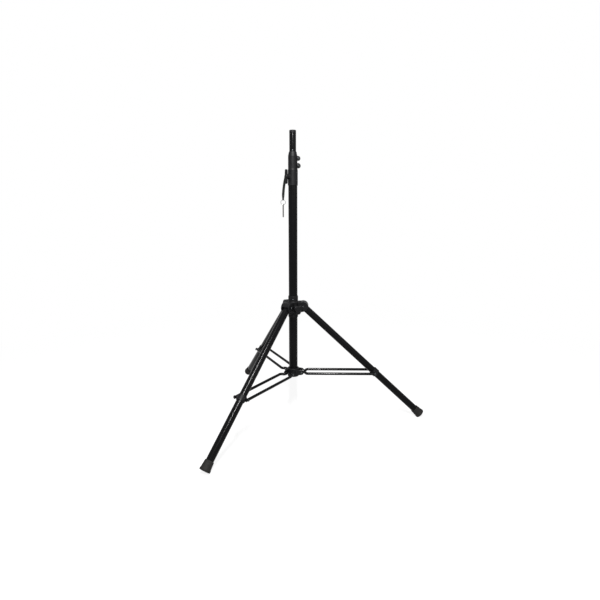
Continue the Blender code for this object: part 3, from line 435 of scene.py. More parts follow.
body = turned([(POLE_R + 0.0021, SLEEVE_TOP_Z), (NECK_R, NECK_TOP_Z), (NECK_R, SKIRT_TOP_Z),
               (SKIRT_R, SKIRT_TOP_Z - 0.004), (SKIRT_R, SLEEVE_BOTTOM_Z)], NYLON)
ears = []
for radius, z in zip(EAR_RS, EAR_ZS):
    outline = arc(PINCH_X, z, radius, -90, 90) + [(POLE_R + 0.003, z + radius), (POLE_R + 0.003, z - radius)]
    ears.append(slab(outline, -EAR_HALF, EAR_HALF))
boss = radial(rod(LOCK_BOSS_R, TUBE_R - 0.004, LOCK_BOSS_END, 64), LOCK_AZIMUTH, LOCK_Z)
root, strap_side = -(TUBE_R - 0.006), STRAP_Y + STRAP_THICKNESS / 2 + FIT
strap_ear = slab(arc(RIVET_X, RIVET_Z, 0.0065, 90, 270) + [(root, RIVET_Z - 0.009), (root, RIVET_Z + 0.009)],
                 strap_side, strap_side + 0.004)
body = joined(body, *ears, boss, strap_ear)
slit = slab([(POLE_R - 0.004, SKIRT_TOP_Z), (PINCH_X + 0.02, SKIRT_TOP_Z),
             (PINCH_X + 0.02, SLEEVE_TOP_Z + 0.01), (POLE_R - 0.004, SLEEVE_TOP_Z + 0.01)],
            -SLIT_HALF, SLIT_HALF)
body = cut(body, rod(TUBE_R + FIT, SLEEVE_BOTTOM_Z - 0.01, TUBE_TOP_Z + FIT, 96),
           rod(POLE_R + FIT, SLEEVE_BOTTOM_Z - 0.01, SLEEVE_TOP_Z + 0.01, 96), slit,
           *[across(rod(PINCH_R + FIT, -ACROSS_POLE, ACROSS_POLE), PINCH_X, z) for z in EAR_ZS],
           radial(rod(STUD_R + FIT, POLE_R, LOCK_BOSS_END + 0.01), LOCK_AZIMUTH, LOCK_Z),
           moved(across(rod(RIVET_R + FIT, 0.0, 0.02)), (RIVET_X, 0, RIVET_Z)))
finished("pole_clamp_sleeve", at_axis(moulded(body, 0.0007, 3)), NYLON, "black_nylon", "stand",
         "clamp_sleeve", sharp=50)

# A tree that sets one fastener at each point, turned so that its axis follows the point's "along".
FASTENERS, given = new_tree("fasteners", {"Places": "Geometry", "Fastener": "Object", "Finish": "Material"},
                            "Set")
model = add(FASTENERS, "GeometryNodeObjectInfo", {"Object": given["Fastener"]}).outputs["Geometry"]
along = add(FASTENERS, "GeometryNodeInputNamedAttribute", {"Name": "along"},
            data_type="FLOAT_VECTOR").outputs[0]
turn = add(FASTENERS, "FunctionNodeAlignRotationToVector", {"Vector": along}, axis="Z").outputs[0]
points = add(FASTENERS, "GeometryNodeMeshToPoints", {"Mesh": given["Places"]}).outputs[0]
copies = add(FASTENERS, "GeometryNodeInstanceOnPoints",
             {"Points": points, "Instance": model, "Rotation": turn}).outputs[0]
close_tree(FASTENERS, copies, given["Finish"])


def fastened(fastener, places):
    """One zinc-plated mesh with a fastener at each (point, direction)."""
    model = placed("fastener", fastener)
    spots = bpy.data.meshes.new("places")
    spots.from_pydata([point for point, along in places], [], [])
    directions = spots.attributes.new("along", "FLOAT_VECTOR", "POINT")
    for item, (point, along) in zip(directions.data, places):
        item.vector = along
    result = grown(spots, FASTENERS, fastener=model, finish=ZINC)
    bpy.data.objects.remove(model)
    return result


bolt_head = EAR_HALF + FIT
bolt = turned([(0.0028, -bolt_head - 0.005), (0.0042, -bolt_head - 0.0042), (0.0042, -bolt_head),
               (PINCH_R, -bolt_head), (PINCH_R, EAR_HALF + 0.006)], ZINC, 40, 0.0003)
bolt = cut(bolt, turned([(0.0019, -bolt_head - 0.006), (0.0019, -bolt_head - 0.0026)], None, 6, 0.0))
places = [((AXIS + PINCH_X, 0, z), (0, 1, 0)) for z in EAR_ZS]
finished("pinch_bolts", fastened(bolt, places), ZINC, "zinc_plate", "stand",
         "pinch_bolt_upper", "pinch_bolt_lower")
nut = turned([(0.0040, bolt_head), (0.0046, bolt_head + 0.0006), (0.0046, bolt_head + 0.0034),
              (0.0040, bolt_head + 0.004)], ZINC, 6, 0.0)
nut = cut(nut, rod(PINCH_R + FIT, bolt_head - 0.01, bolt_head + 0.014))
finished("pinch_nuts", fastened(nut, places), ZINC, "zinc_plate", "stand",
         "pinch_nut_upper", "pinch_nut_lower")


# The pole lock. A T-shaped nylon handle moulded on a steel stud, screwed into the sleeve's boss:
# its tip presses a nylon shoe on the pole. It turns about the stud.
base = LOCK_BOSS_END + FIT
hub_top = base + 0.015
handle = turned([(0.0105, base), (0.0115, base + 0.001), (0.0105, base + 0.012), (0.0085, base + 0.0142),
                 (0.004, hub_top)][::-1], NYLON, 64)
wing_half, wing_r = 0.0365, 0.0065
tip = arc(wing_half - wing_r, 0, wing_r, -90, 90, 16)
middle_x, middle_z = 0.010, 0.0078
outline = tip + [(middle_x, middle_z), (-middle_x, middle_z)]
outline += [(-x, -z) for x, z in outline]
wing = moved(slab(outline, -0.0045, 0.0045), (0, 0, base + 0.008), (pi / 2, 0, 0))
bore = rod(STUD_R + FIT, base - 0.01, base + 0.0093)
handle = moulded(cut(joined(handle, wing), bore), 0.0005, 5)
finished("lock_t_handle", at_axis(radial(handle, LOCK_AZIMUTH, LOCK_Z)), NYLON, "black_nylon", "lock",
         "lock_handle", sharp=60)


# The lanyard. A doubled polypropylene strap, 14 mm wide, riveted to the sleeve's ear and sewn round a
# wire ring, with the pin that locks the raised pole. Woven black tape with a faint green cast.
STRAP_LENGTH, STRAP_LEAN, STRAP_WIDTH, LOOP_WIDTH, LOOP_OPEN = 0.1185, 0.014, 0.014, 0.009, 0.0017
rows, columns = 72, 10
layer = STRAP_THICKNESS / 2
points, uvs, faces = [], [], []
for side in (-1, 1):
    for i in range(rows + 1):
        drop = -0.055 + 1.055 * i / rows
        shown = max(drop, 0.0)
        x_middle = -STRAP_LEAN * (1 - (1 - shown) ** 2)
        narrow = max(0.0, (drop - 0.8) / 0.2)
        half = (STRAP_WIDTH * (1 - narrow) + LOOP_WIDTH * narrow) / 2 - 0.0003
        opened = max(0.0, (drop - 0.955) / 0.045) ** 0.7 * LOOP_OPEN
        for j in range(columns + 1):
            share = 2 * j / columns - 1
            crown = 0.0001 * (1 - share ** 2)
            y = side * (layer / 2 + 0.00003 + crown + opened)
            points.append((x_middle + half * share, y, -STRAP_LENGTH * drop))
            uvs.append((half * share + 0.007, STRAP_LENGTH * drop + 0.01))
stride = columns + 1
back, last_row = (rows + 1) * stride, rows * stride
for side in (0, 1):
    for i in range(rows):
        for j in range(columns):
            a = side * back + i * stride + j
            quad = (a, a + 1, a + stride + 1, a + stride)
            faces.append(quad if side == 0 else quad[::-1])
turn_steps = 10
previous = [last_row + j for j in range(stride)]
for i in range(1, turn_steps + 1):
    if i == turn_steps:
        ring = [back + last_row + j for j in range(stride)]
    else:
        a = pi * i / turn_steps
        ring = []
        for j in range(stride):
            x, y, z = points[last_row + j]
            reach = abs(y)
            ring.append(len(points))
            points.append((x, -reach * cos(a), z - reach * sin(a)))
            uvs.append((uvs[last_row + j][0], STRAP_LENGTH + 0.01 + reach * a))
    for j in range(columns):
        faces.append((previous[j], previous[j + 1], ring[j + 1], ring[j]))
    previous = ring
tape = bpy.data.meshes.new("tape")
tape.from_pydata(points, [], faces)
layer_map = tape.uv_layers.new(name="tape")
for loop in tape.loops:
    layer_map.data[loop.index].uv = uvs[loop.vertex_index]
shell = placed("blank", tape)
thick = shell.modifiers.new("thick", "SOLIDIFY")
thick.thickness, thick.offset = layer * 0.86, 0.0
strap = baked(shell)

# Woven polypropylene: ribs 1.3 mm apart across the tape and yarns 0.9 mm apart along it, both drawn
# a third coarser than real so that they show, with a trace of sheen and no gloss.
WEBBING, tree, spot = new_finish("woven_polypropylene_webbing")
place = add(tree, "ShaderNodeTexCoord").outputs["UV"]
ribs = add(tree, "ShaderNodeTexWave", {"Vector": place, "Scale": 120.0, "Distortion": 0.3},
           bands_direction="Y").outputs[1]
yarns = add(tree, "ShaderNodeTexWave", {"Vector": place, "Scale": 175.0, "Distortion": 0.2},
            bands_direction="X").outputs[1]
weave = add(tree, "ShaderNodeMath", {0: ribs, 1: yarns}, operation="MULTIPLY").outputs[0]
fade = add(tree, "ShaderNodeTexNoise", {"Vector": spot, "Scale": 120.0, "Detail": 3.0}).outputs[0]
shade = add(tree, "ShaderNodeMix", {0: weave, 6: linear("#040504"), 7: linear("#0D0F0D")},
            data_type="RGBA").outputs[2]
faded = add(tree, "ShaderNodeMapRange", {0: fade, 1: 0.4, 2: 0.75, 3: 0.0, 4: 0.4}).outputs[0]
shade = add(tree, "ShaderNodeMix", {0: faded, 6: shade, 7: linear("#131513")}, data_type="RGBA").outputs[2]
bump = add(tree, "ShaderNodeBump", {"Strength": 0.6, "Distance": 0.0003, "Height": weave}).outputs[0]
shader = add(tree, "ShaderNodeBsdfPrincipled", {"Base Color": shade, "Roughness": 0.85, "Normal": bump,
             "Sheen Weight": 0.02, "Sheen Roughness": 0.5, "Specular IOR Level": 0.12}).outputs[0]
add(tree, "ShaderNodeOutputMaterial", {0: shader})

strap = faced(cut(strap, across(rod(RIVET_R + FIT, -0.01, 0.01))))
strap = moved(strap, (AXIS + RIVET_X, STRAP_Y, RIVET_Z))
finished("pin_strap", strap, WEBBING, "black_webbing", "lanyard", "strap", sharp=60)

# A tree that lays stitches of thread along lines: one short twist of thread for each spacing.
STITCHES, given = new_tree("stitches", {"Seams": "Geometry", "Spacing": "Float", "Thread Radius": "Float",
                                        "Finish": "Material"}, "Sewn")
seam = add(STITCHES, "GeometryNodeMeshToCurve", {"Mesh": given["Seams"]}).outputs[0]
spots = add(STITCHES, "GeometryNodeCurveToPoints", {"Curve": seam, "Length": given["Spacing"]}, mode="LENGTH")
turn = add(STITCHES, "FunctionNodeAlignRotationToVector", {"Vector": spots.outputs["Tangent"]}, axis="Z")
ball = add(STITCHES, "GeometryNodeMeshUVSphere", {"Segments": 8, "Rings": 6, "Radius": 1.0}).outputs[0]
half = add(STITCHES, "ShaderNodeMath", {0: given["Spacing"], 1: 0.42}, operation="MULTIPLY").outputs[0]
size = add(STITCHES, "ShaderNodeCombineXYZ", {0: given["Thread Radius"], 1: given["Thread Radius"], 2: half})
threads = add(STITCHES, "GeometryNodeInstanceOnPoints", {"Points": spots.outputs["Points"], "Instance": ball,
              "Rotation": turn.outputs[0], "Scale": size.outputs[0]}).outputs[0]
close_tree(STITCHES, threads, given["Finish"])

# Bonded polyester thread, dark grey: it lies proud of the tape and has a slight waxy shine.
THREAD, tree, place = new_finish("bonded_polyester_thread")
twist = add(tree, "ShaderNodeTexNoise", {"Vector": place, "Scale": 2500.0}).outputs[0]
shade = add(tree, "ShaderNodeMix", {0: twist, 6: linear("#232723"), 7: linear("#343934")},
            data_type="RGBA").outputs[2]
shader = add(tree, "ShaderNodeBsdfPrincipled", {"Base Color": shade, "Roughness": 0.6}).outputs[0]
add(tree, "ShaderNodeOutputMaterial", {0: shader})
seams, edges = [], []
# Two boxes of stitches on each face, by their top, bottom (as shares of the strap) and half width.
for y in (-1, 1):
    for top, bottom, half in ((0.06, 0.17, 0.0052), (0.80, 0.93, 0.0034)):
        box = []
        for x, drop in ((-half, top), (half, top), (half, bottom), (-half, bottom)):
            middle = -STRAP_LEAN * (1 - (1 - drop) ** 2)
            box.append((AXIS + RIVET_X + middle + x, STRAP_Y + y * (layer + 0.00012),
                        RIVET_Z - STRAP_LENGTH * drop))
        start = len(seams)
        seams += box
        edges += [(start + a, start + b) for a, b in ((0, 1), (1, 2), (2, 3), (3, 0))]
line = bpy.data.meshes.new("seams")
line.from_pydata(seams, edges, [])
sewn = grown(line, STITCHES, spacing=0.0024, thread_radius=0.00028, finish=THREAD)
sewn.shade_smooth()
stitching = placed("strap_stitching", sewn)
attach(stitching, "lanyard")

front, ear_back = -layer - FIT, layer + FIT + 0.004 + FIT
rivet = turned([(0.0014, front - 0.0019), (0.0033, front - 0.0016), (0.0045, front - 0.0006), (0.0045, front),
                (RIVET_R, front), (RIVET_R, ear_back), (0.0038, ear_back), (0.0038, ear_back + 0.001),
                (0.0020, ear_back + 0.0016)], ZINC, 48, 0.0002)
rivet = moved(across(rivet), (AXIS + RIVET_X, STRAP_Y, RIVET_Z))
finished("strap_rivet_head", rivet, ZINC, "zinc_plate", "stand", "strap_rivet")

# A tree that bends a round rod along a line, with closed ends unless the line is a loop.
BENDER, given = new_tree("rod_bender", {"Line": "Geometry", "Radius": "Float", "Sides": "Int",
                                        "Finish": "Material"}, "Rod")
line = add(BENDER, "GeometryNodeMeshToCurve", {"Mesh": given["Line"]}).outputs[0]
section = add(BENDER, "GeometryNodeCurvePrimitiveCircle", {"Resolution": given["Sides"],
              "Radius": given["Radius"]}).outputs[0]
swept = add(BENDER, "GeometryNodeCurveToMesh", {"Curve": line, "Profile Curve": section, "Fill Caps": True})
close_tree(BENDER, swept.outputs[0], given["Finish"])


def bent_rod(points, radius, finish, sides=32, loop=False):
    count = len(points)
    line = bpy.data.meshes.new("line")
    line.from_pydata(points, [(i, (i + 1) % count) for i in range(count if loop else count - 1)], [])
    return faced(grown(line, BENDER, radius=radius, sides=sides, finish=finish))


# Nickel-plated steel: the ring and pin are polished wire and bar, brighter than the zinc.
NICKEL, tree, place = new_finish("nickel_plated_steel")
cloud = add(tree, "ShaderNodeTexNoise", {"Vector": place, "Scale": 500.0, "Detail": 3.0}).outputs[0]
shade = add(tree, "ShaderNodeMix", {0: cloud, 6: linear("#656461"), 7: linear("#7B7A77")},
            data_type="RGBA").outputs[2]
rough = add(tree, "ShaderNodeMapRange", {0: cloud, 1: 0.3, 2: 0.7, 3: 0.16, 4: 0.30}).outputs[0]
shader = add(tree, "ShaderNodeBsdfPrincipled", {"Base Color": shade, "Roughness": rough,
             "Metallic": 1.0}).outputs[0]
add(tree, "ShaderNodeOutputMaterial", {0: shader})
RING_R, WIRE_R = 0.0125, 0.0011
ring_x, ring_z = RIVET_X - STRAP_LEAN, RIVET_Z - STRAP_LENGTH
circle = [(AXIS + ring_x + RING_R * cos(a), STRAP_Y, ring_z - RING_R + RING_R * sin(a))
          for a in [2 * pi * i / 72 for i in range(72)]]
finished("split_ring", bent_rod(circle, WIRE_R, NICKEL, 20, True), NICKEL, "bright_steel", "pin", "pin_ring")
eye = -2 * RING_R
PIN_R, PIN_LENGTH = 0.0035, 0.070
top = eye + PIN_R + 0.0006
end = top - PIN_LENGTH
pin = turned([(0.0010, top), (0.0024, top - 0.0004), (PIN_R, top - 0.0020), (PIN_R, end + 0.004),
              (0.0024, end + 0.0014), (0.0010, end)], NICKEL, 48)
pin = cut(pin, moved(rod(0.0022, -0.02, 0.02), (0, 0, eye), (0, pi / 2, 0)))
finished("locking_pin", moved(pin, (AXIS + ring_x, STRAP_Y, ring_z)), NICKEL, "bright_steel", "pin",
         "safety_pin")


# The leg collar. One nylon casting that slides on the fixed tube, with three hooded clevises for the legs,
# a boss for its lock knob, a bare neck above and a skirt below. A headed steel pin hangs each leg between
# its clevis's cheeks, and a screw in the neck holds the collar's inner sleeve.
def around(mesh, azimuth):
    return moved(mesh, turn=(0, 0, azimuth))


frame_joints = {joint["name"]: joint for joint in frame["joints"]}
LEG_R, RUNNING_FIT, SWING_FIT = 0.01905, 0.0004, 0.0006
PIVOT_BOLT_R, BOLT_HEAD_R, BOLT_HEAD = 0.004, 0.0068, 0.0045
COLLAR_BORE_R = TUBE_R + RUNNING_FIT
BARREL_R, COLLAR_NECK_R = COLLAR_BORE_R + 0.0068, COLLAR_BORE_R + 0.0026
LEG_PIVOT_R = BARREL_R + LEG_R + 0.00495
LEG_PIVOT_Z = frame_joints["leg_1_fold"]["pos_m"][2]
CHEEK_IN, HOOD_IN_R = LEG_R + SWING_FIT, LEG_R + 0.0045
CHEEK, ROOF = 0.0055, 0.0045
CHEEK_OUT, HOOD_OUT_R = CHEEK_IN + CHEEK, HOOD_IN_R + ROOF
BARREL_TOP_Z, BARREL_BOTTOM_Z = LEG_PIVOT_Z + HOOD_OUT_R, LEG_PIVOT_Z - 0.040
COLLAR_TOP_Z, COLLAR_BOTTOM_Z = BARREL_TOP_Z + 0.030, BARREL_BOTTOM_Z - 0.020
KNOB_AZIMUTH, KNOB_Z, COLLAR_BOSS_END = radians(300), LEG_PIVOT_Z - 0.007, BARREL_R + 0.0233
SCREW_AZIMUTH, SCREW_Z = radians(272), BARREL_TOP_Z + 0.0115
AZIMUTHS = [radians(120 * i) for i in range(3)]


def hood():
    """Both cheeks and the roof of one clevis, for the leg along +X."""
    x, z, root = LEG_PIVOT_R, LEG_PIVOT_Z, COLLAR_BORE_R + 0.002
    roof = arc(x, z, HOOD_OUT_R, 14, 165, 40) + arc(x, z, HOOD_IN_R, 165, 14, 40)
    side = arc(x, z, HOOD_OUT_R, -62, 110, 40) + [(root, z + HOOD_OUT_R - 0.002), (root, z - 0.034)]
    return joined(slab(roof, -CHEEK_OUT, CHEEK_OUT), slab(side, CHEEK_IN, CHEEK_OUT),
                  slab(side, -CHEEK_OUT, -CHEEK_IN))


body = turned([(COLLAR_NECK_R - 0.001, COLLAR_TOP_Z), (COLLAR_NECK_R, COLLAR_TOP_Z - 0.001),
               (COLLAR_NECK_R, BARREL_TOP_Z), (BARREL_R, BARREL_TOP_Z - 0.003), (BARREL_R, BARREL_BOTTOM_Z),
               (COLLAR_NECK_R, BARREL_BOTTOM_Z - 0.004), (COLLAR_NECK_R, COLLAR_BOTTOM_Z)], NYLON)
boss = radial(rod(0.012, COLLAR_BORE_R + 0.002, COLLAR_BOSS_END, 64), KNOB_AZIMUTH, KNOB_Z)
body = joined(body, boss, *[around(hood(), a) for a in AZIMUTHS])
body = cut(body, rod(COLLAR_BORE_R, COLLAR_BOTTOM_Z - 0.01, COLLAR_TOP_Z + 0.01, 96),
           *[around(across(rod(PIVOT_BOLT_R + FIT, -0.04, 0.04), LEG_PIVOT_R, LEG_PIVOT_Z), a)
             for a in AZIMUTHS],
           radial(rod(STUD_R + FIT, TUBE_BORE_R, COLLAR_BOSS_END + 0.01), KNOB_AZIMUTH, KNOB_Z),
           radial(rod(SCREW_R + FIT, TUBE_BORE_R, COLLAR_NECK_R + 0.01), SCREW_AZIMUTH, SCREW_Z))
finished("leg_collar_casting", at_axis(moulded(body, 0.0010, 3)), NYLON, "black_nylon", "collar",
         "leg_collar", sharp=50)
screw = radial(pan_screw(COLLAR_NECK_R, COLLAR_BORE_R), SCREW_AZIMUTH, SCREW_Z)
finished("collar_neck_screw", at_axis(screw), ZINC, "zinc_plate", "collar", "collar_screw")


def pivot_bolt(half):
    """A headed pin along Z through two cheeks, with a shallow six-sided socket in its head."""
    seat, rim = half + FIT, BOLT_HEAD_R * 0.75
    bolt = turned([(rim, -seat - BOLT_HEAD), (BOLT_HEAD_R, -seat - BOLT_HEAD * 0.6), (BOLT_HEAD_R, -seat),
                   (PIVOT_BOLT_R, -seat), (PIVOT_BOLT_R, seat), (BOLT_HEAD_R, seat),
                   (BOLT_HEAD_R, seat + BOLT_HEAD * 0.6), (rim, seat + BOLT_HEAD)], ZINC, 48)
    return cut(bolt, turned([(0.0028, -seat - BOLT_HEAD - 0.001), (0.0028, -seat - 0.0018)], None, 6, 0.0))


def ring_of_bolts(half, reach, z):
    """One bolt for each leg's direction, across that direction at the given reach."""
    return fastened(pivot_bolt(half), [((AXIS + reach * cos(a), reach * sin(a), z), (-sin(a), cos(a), 0))
                                       for a in AZIMUTHS])


finished("leg_pivot_bolts", ring_of_bolts(CHEEK_OUT, LEG_PIVOT_R, LEG_PIVOT_Z), ZINC, "zinc_plate", "collar",
         *[f"leg_pivot_bolt_{n}" for n in (1, 2, 3)])


# The collar's lock. A three-lobed nylon knob moulded on a steel stud that bears on the tube.
KNOB_R, KNOB_LOBE = 0.0225, 0.0055
base, depth = COLLAR_BOSS_END + FIT, 0.019
levels = ((0.0, 0.55), (0.08, 0.78), (0.16, 0.93), (0.24, 1.0), (0.50, 1.01), (0.76, 1.0), (0.92, 0.90),
          (1.0, 0.70))
sides = 144
points = []
for height, share in levels:
    for a in [2 * pi * i / sides for i in range(sides)]:
        reach = share * (KNOB_R + KNOB_LOBE * cos(3 * a))
        points.append((reach * cos(a), reach * sin(a), base + height * depth))
faces = [(i * sides + j, i * sides + (j + 1) % sides, (i + 1) * sides + (j + 1) % sides, (i + 1) * sides + j)
         for i in range(len(levels) - 1) for j in range(sides)]
faces += [tuple(range(sides)), tuple(range(len(points) - sides, len(points)))]
knob = bpy.data.meshes.new("knob")
knob.from_pydata(points, [], faces)
dish = turned([(0.0125, base + depth - 0.0012), (0.0115, base + depth + 0.003)], None, 64, 0.0)
knob = cut(faced(knob), rod(STUD_R + FIT, base - 0.01, base + 0.0093), dish)
knob = moulded(knob, 0.0005, 5)
finished("collar_lobe_knob", at_axis(radial(knob, KNOB_AZIMUTH, KNOB_Z)), NYLON, "black_nylon", "collar_lock",
         "collar_knob", sharp=60)


# The legs. Three steel tubes, 38.1 mm outside with a 1.5 mm wall, in the same enamel, each with a domed
# nylon plug in its upper end, a grey rubber foot on its lower end and a nylon clamp for its brace.
# In the leg's own frame the pivot is at the origin and the foot points along -Z.
FOOT_TOUCH_R, FOOT_FLAT, FOOT_SOLE, FOOT_LENGTH = 0.705, 0.0028, 0.006, 0.048
FOOT_BASE_R, CLAMP_DISTANCE, CLAMP_HALF = LEG_R + 0.0075, 0.549, LEG_R + 0.00915
LEG_TOP, LEG_WALL, PLUG_DEPTH, PLUG_DOME = 0.0105, 0.0015, 0.030, 0.0042
ACROSS_LEG, BRACE_SCREW_R = 0.04, 0.003
touch = hypot(FOOT_TOUCH_R - LEG_PIVOT_R, LEG_PIVOT_Z + FOOT_FLAT)
LEG_LENGTH = sqrt(touch ** 2 - FOOT_BASE_R ** 2)
LEG_LEAN = atan2(FOOT_TOUCH_R - LEG_PIVOT_R, LEG_PIVOT_Z + FOOT_FLAT) + atan(FOOT_BASE_R / LEG_LENGTH)

# Moulded rubber, near black with a brown cast: matt, finely pitted, a little paler with dust near the floor.
RUBBER, tree, place = new_finish("moulded_grey_rubber")
pits = add(tree, "ShaderNodeTexNoise", {"Vector": place, "Scale": 1100.0, "Detail": 4.0}).outputs[0]
cloud = add(tree, "ShaderNodeTexNoise", {"Vector": place, "Scale": 70.0, "Detail": 5.0}).outputs[0]
height = add(tree, "ShaderNodeSeparateXYZ", {0: place}).outputs[2]
low_down = add(tree, "ShaderNodeMapRange", {0: height, 1: 0.0, 2: 0.030, 3: 1.0, 4: 0.0}).outputs[0]
dust = add(tree, "ShaderNodeMath", {0: low_down, 1: cloud}, operation="MULTIPLY").outputs[0]
shade = add(tree, "ShaderNodeMix", {0: cloud, 6: linear("#080706"), 7: linear("#0D0C0B")},
            data_type="RGBA").outputs[2]
shade = add(tree, "ShaderNodeMix", {0: dust, 6: shade, 7: linear("#161513")}, data_type="RGBA").outputs[2]
rough = add(tree, "ShaderNodeMapRange", {0: cloud, 1: 0.3, 2: 0.7, 3: 0.66, 4: 0.84}).outputs[0]
bump = add(tree, "ShaderNodeBump", {"Strength": 0.35, "Distance": 0.00015, "Height": pits}).outputs[0]
shader = add(tree, "ShaderNodeBsdfPrincipled", {"Base Color": shade, "Roughness": rough, "Normal": bump,
             "Specular IOR Level": 0.15}).outputs[0]
add(tree, "ShaderNodeOutputMaterial", {0: shader})


def leg_tube():
    inner, end = LEG_R - LEG_WALL, FOOT_SOLE - LEG_LENGTH
    tube = sleeve([(LEG_R, LEG_TOP), (LEG_R, end), (inner, end), (inner, LEG_TOP)], PAINT)
    return cut(tube, across(rod(PIVOT_BOLT_R + FIT, -ACROSS_LEG, ACROSS_LEG)))


def leg_plug():
    inner, seat = LEG_R - LEG_WALL - FIT, LEG_TOP + FIT
    dome = [(LEG_R * sin(a), seat + 0.0008 + (PLUG_DOME - 0.0008) * cos(a))
            for a in [radians(x) for x in (12, 28, 45, 62, 78, 90)]]
    plug = turned(dome + [(LEG_R, seat), (inner, seat), (inner, 0.002 - PLUG_DEPTH),
                          (inner - 0.002, -PLUG_DEPTH)], NYLON)
    return cut(plug, across(rod(PIVOT_BOLT_R + FIT, -ACROSS_LEG, ACROSS_LEG)))


def foot():
    """A cup over the tube's end, its corner pressed flat on the floor."""
    low, top = -LEG_LENGTH, FOOT_LENGTH - LEG_LENGTH
    bore, mouth = LEG_R + FIT, LEG_R + FIT + 0.0026
    cup = turned([(FOOT_BASE_R - 0.0025, low), (FOOT_BASE_R - 0.0006, low + 0.0008),
                  (FOOT_BASE_R, low + 0.003), (FOOT_BASE_R - 0.0002, low + 0.010),
                  (FOOT_BASE_R - 0.0018, low + 0.014), (mouth + 0.0006, top - 0.006), (mouth, top)],
                 RUBBER, 96, 0.0008)
    cup = cut(cup, rod(bore, low + FOOT_SOLE - FIT, top + 0.01, 96))
    shape = bmesh.new()
    shape.from_mesh(cup)
    down = Vector((sin(LEG_LEAN), 0, cos(LEG_LEAN)))
    floor_cut = bmesh.ops.bisect_plane(shape, geom=shape.verts[:] + shape.edges[:] + shape.faces[:],
                                       plane_co=-down * LEG_PIVOT_Z, plane_no=down, clear_inner=True)
    rim = [e for e in floor_cut["geom_cut"] if isinstance(e, bmesh.types.BMEdge)]
    bmesh.ops.edgeloop_fill(shape, edges=rim)
    shape.to_mesh(cup)
    shape.free()
    return faced(cup)


def brace_clamp():
    """A band round the leg with a boss on each side for the brace's rods."""
    half, bore, outer = 0.015, LEG_R + FIT, LEG_R + FIT + 0.0037
    band = turned([(outer - 0.001, half), (outer, half - 0.001), (outer, 0.001 - half),
                   (outer - 0.001, -half)], NYLON)
    bosses = across(rod(0.009, -CLAMP_HALF, CLAMP_HALF, 64))
    holes = [across(rod(BRACE_SCREW_R + FIT, s * (CLAMP_HALF - 0.006), s * (CLAMP_HALF + 0.01)))
             for s in (-1, 1)]
    clamp = cut(joined(band, bosses), rod(bore, -half - 0.01, half + 0.01, 96), *holes)
    return moved(moulded(clamp, 0.0006, 3), (0, 0, -CLAMP_DISTANCE))


for number, azimuth in enumerate(AZIMUTHS, 1):
    pivot = (AXIS + LEG_PIVOT_R * cos(azimuth), LEG_PIVOT_R * sin(azimuth), LEG_PIVOT_Z)
    lean = (0, -LEG_LEAN, azimuth)
    body = f"leg_{number}"
    for name, mesh, finish, slot, node, sharp in (
            ("leg_shank", leg_tube(), PAINT, "black_paint", "leg_tube", 32),
            ("leg_top_plug", leg_plug(), NYLON, "black_nylon", "leg_plug", 32),
            ("rubber_foot", foot(), RUBBER, "grey_rubber", "foot", 40),
            ("brace_clamp_band", brace_clamp(), NYLON, "black_nylon", "brace_clamp", 50)):
        finished(f"{name}_{number}", moved(mesh, pivot, lean), finish, slot, body, f"{node}_{number}",
                 sharp=sharp)


# The hub. A nylon ring fixed round the foot of the tube by a screw, with a pair of cheeks for each brace
# and a headed pin through each pair.
ROD_R, HUB_PIVOT_Z = 0.0075, frame_joints["brace_1_fold"]["pos_m"][2]
HUB_BORE_R = TUBE_R + FIT
HUB_R = HUB_BORE_R + 0.0079
HUB_PIVOT_R = HUB_R + ROD_R + 0.0065
ROD_IN, ROD_OUT = ROD_R + 0.005, CLAMP_HALF + RUNNING_FIT + ROD_R
HUB_CHEEK_IN = ROD_IN + ROD_R + 2 * SWING_FIT
HUB_CHEEK_OUT, HUB_CHEEK_R, HUB_HALF = HUB_CHEEK_IN + CHEEK, 0.0125, 0.024
hub_top, hub_bottom = HUB_PIVOT_Z + HUB_HALF, HUB_PIVOT_Z - HUB_HALF
HUB_SCREW_AZIMUTH, HUB_SCREW_SEAT = radians(180), HUB_R + 0.0025
body = turned([(HUB_R - 0.002, hub_top), (HUB_R, hub_top - 0.002), (HUB_R, hub_bottom + 0.002),
               (HUB_R - 0.002, hub_bottom)], NYLON)
root, spread = HUB_BORE_R - 0.008, HUB_CHEEK_R + 0.004
side = arc(HUB_PIVOT_R, HUB_PIVOT_Z, HUB_CHEEK_R, -90, 90)
side += [(root, HUB_PIVOT_Z + spread), (root, HUB_PIVOT_Z - spread)]
cheeks = [around(slab(side, start, start + CHEEK), a)
          for a in AZIMUTHS for start in (HUB_CHEEK_IN, -HUB_CHEEK_OUT)]
boss = radial(rod(0.006, HUB_BORE_R + 0.002, HUB_SCREW_SEAT), HUB_SCREW_AZIMUTH, HUB_PIVOT_Z)
body = joined(body, *cheeks, boss)
body = cut(body, rod(HUB_BORE_R, hub_bottom - 0.01, hub_top + 0.01, 96),
           *[around(across(rod(PIVOT_BOLT_R + FIT, -0.04, 0.04), HUB_PIVOT_R, HUB_PIVOT_Z), a)
             for a in AZIMUTHS],
           radial(rod(SCREW_R + FIT, TUBE_BORE_R, HUB_SCREW_SEAT + 0.01), HUB_SCREW_AZIMUTH, HUB_PIVOT_Z))
finished("brace_hub", at_axis(moulded(body, 0.0007, 3)), NYLON, "black_nylon", "stand", "hub", sharp=50)
screw = radial(pan_screw(HUB_SCREW_SEAT, TUBE_BORE_R), HUB_SCREW_AZIMUTH, HUB_PIVOT_Z)
finished("hub_fixing_screw", at_axis(screw), ZINC, "zinc_plate", "stand", "hub_screw")
finished("hub_pivot_bolts", ring_of_bolts(HUB_CHEEK_OUT, HUB_PIVOT_R, HUB_PIVOT_Z), ZINC, "zinc_plate",
         "stand", *[f"hub_pivot_bolt_{n}" for n in (1, 2, 3)])


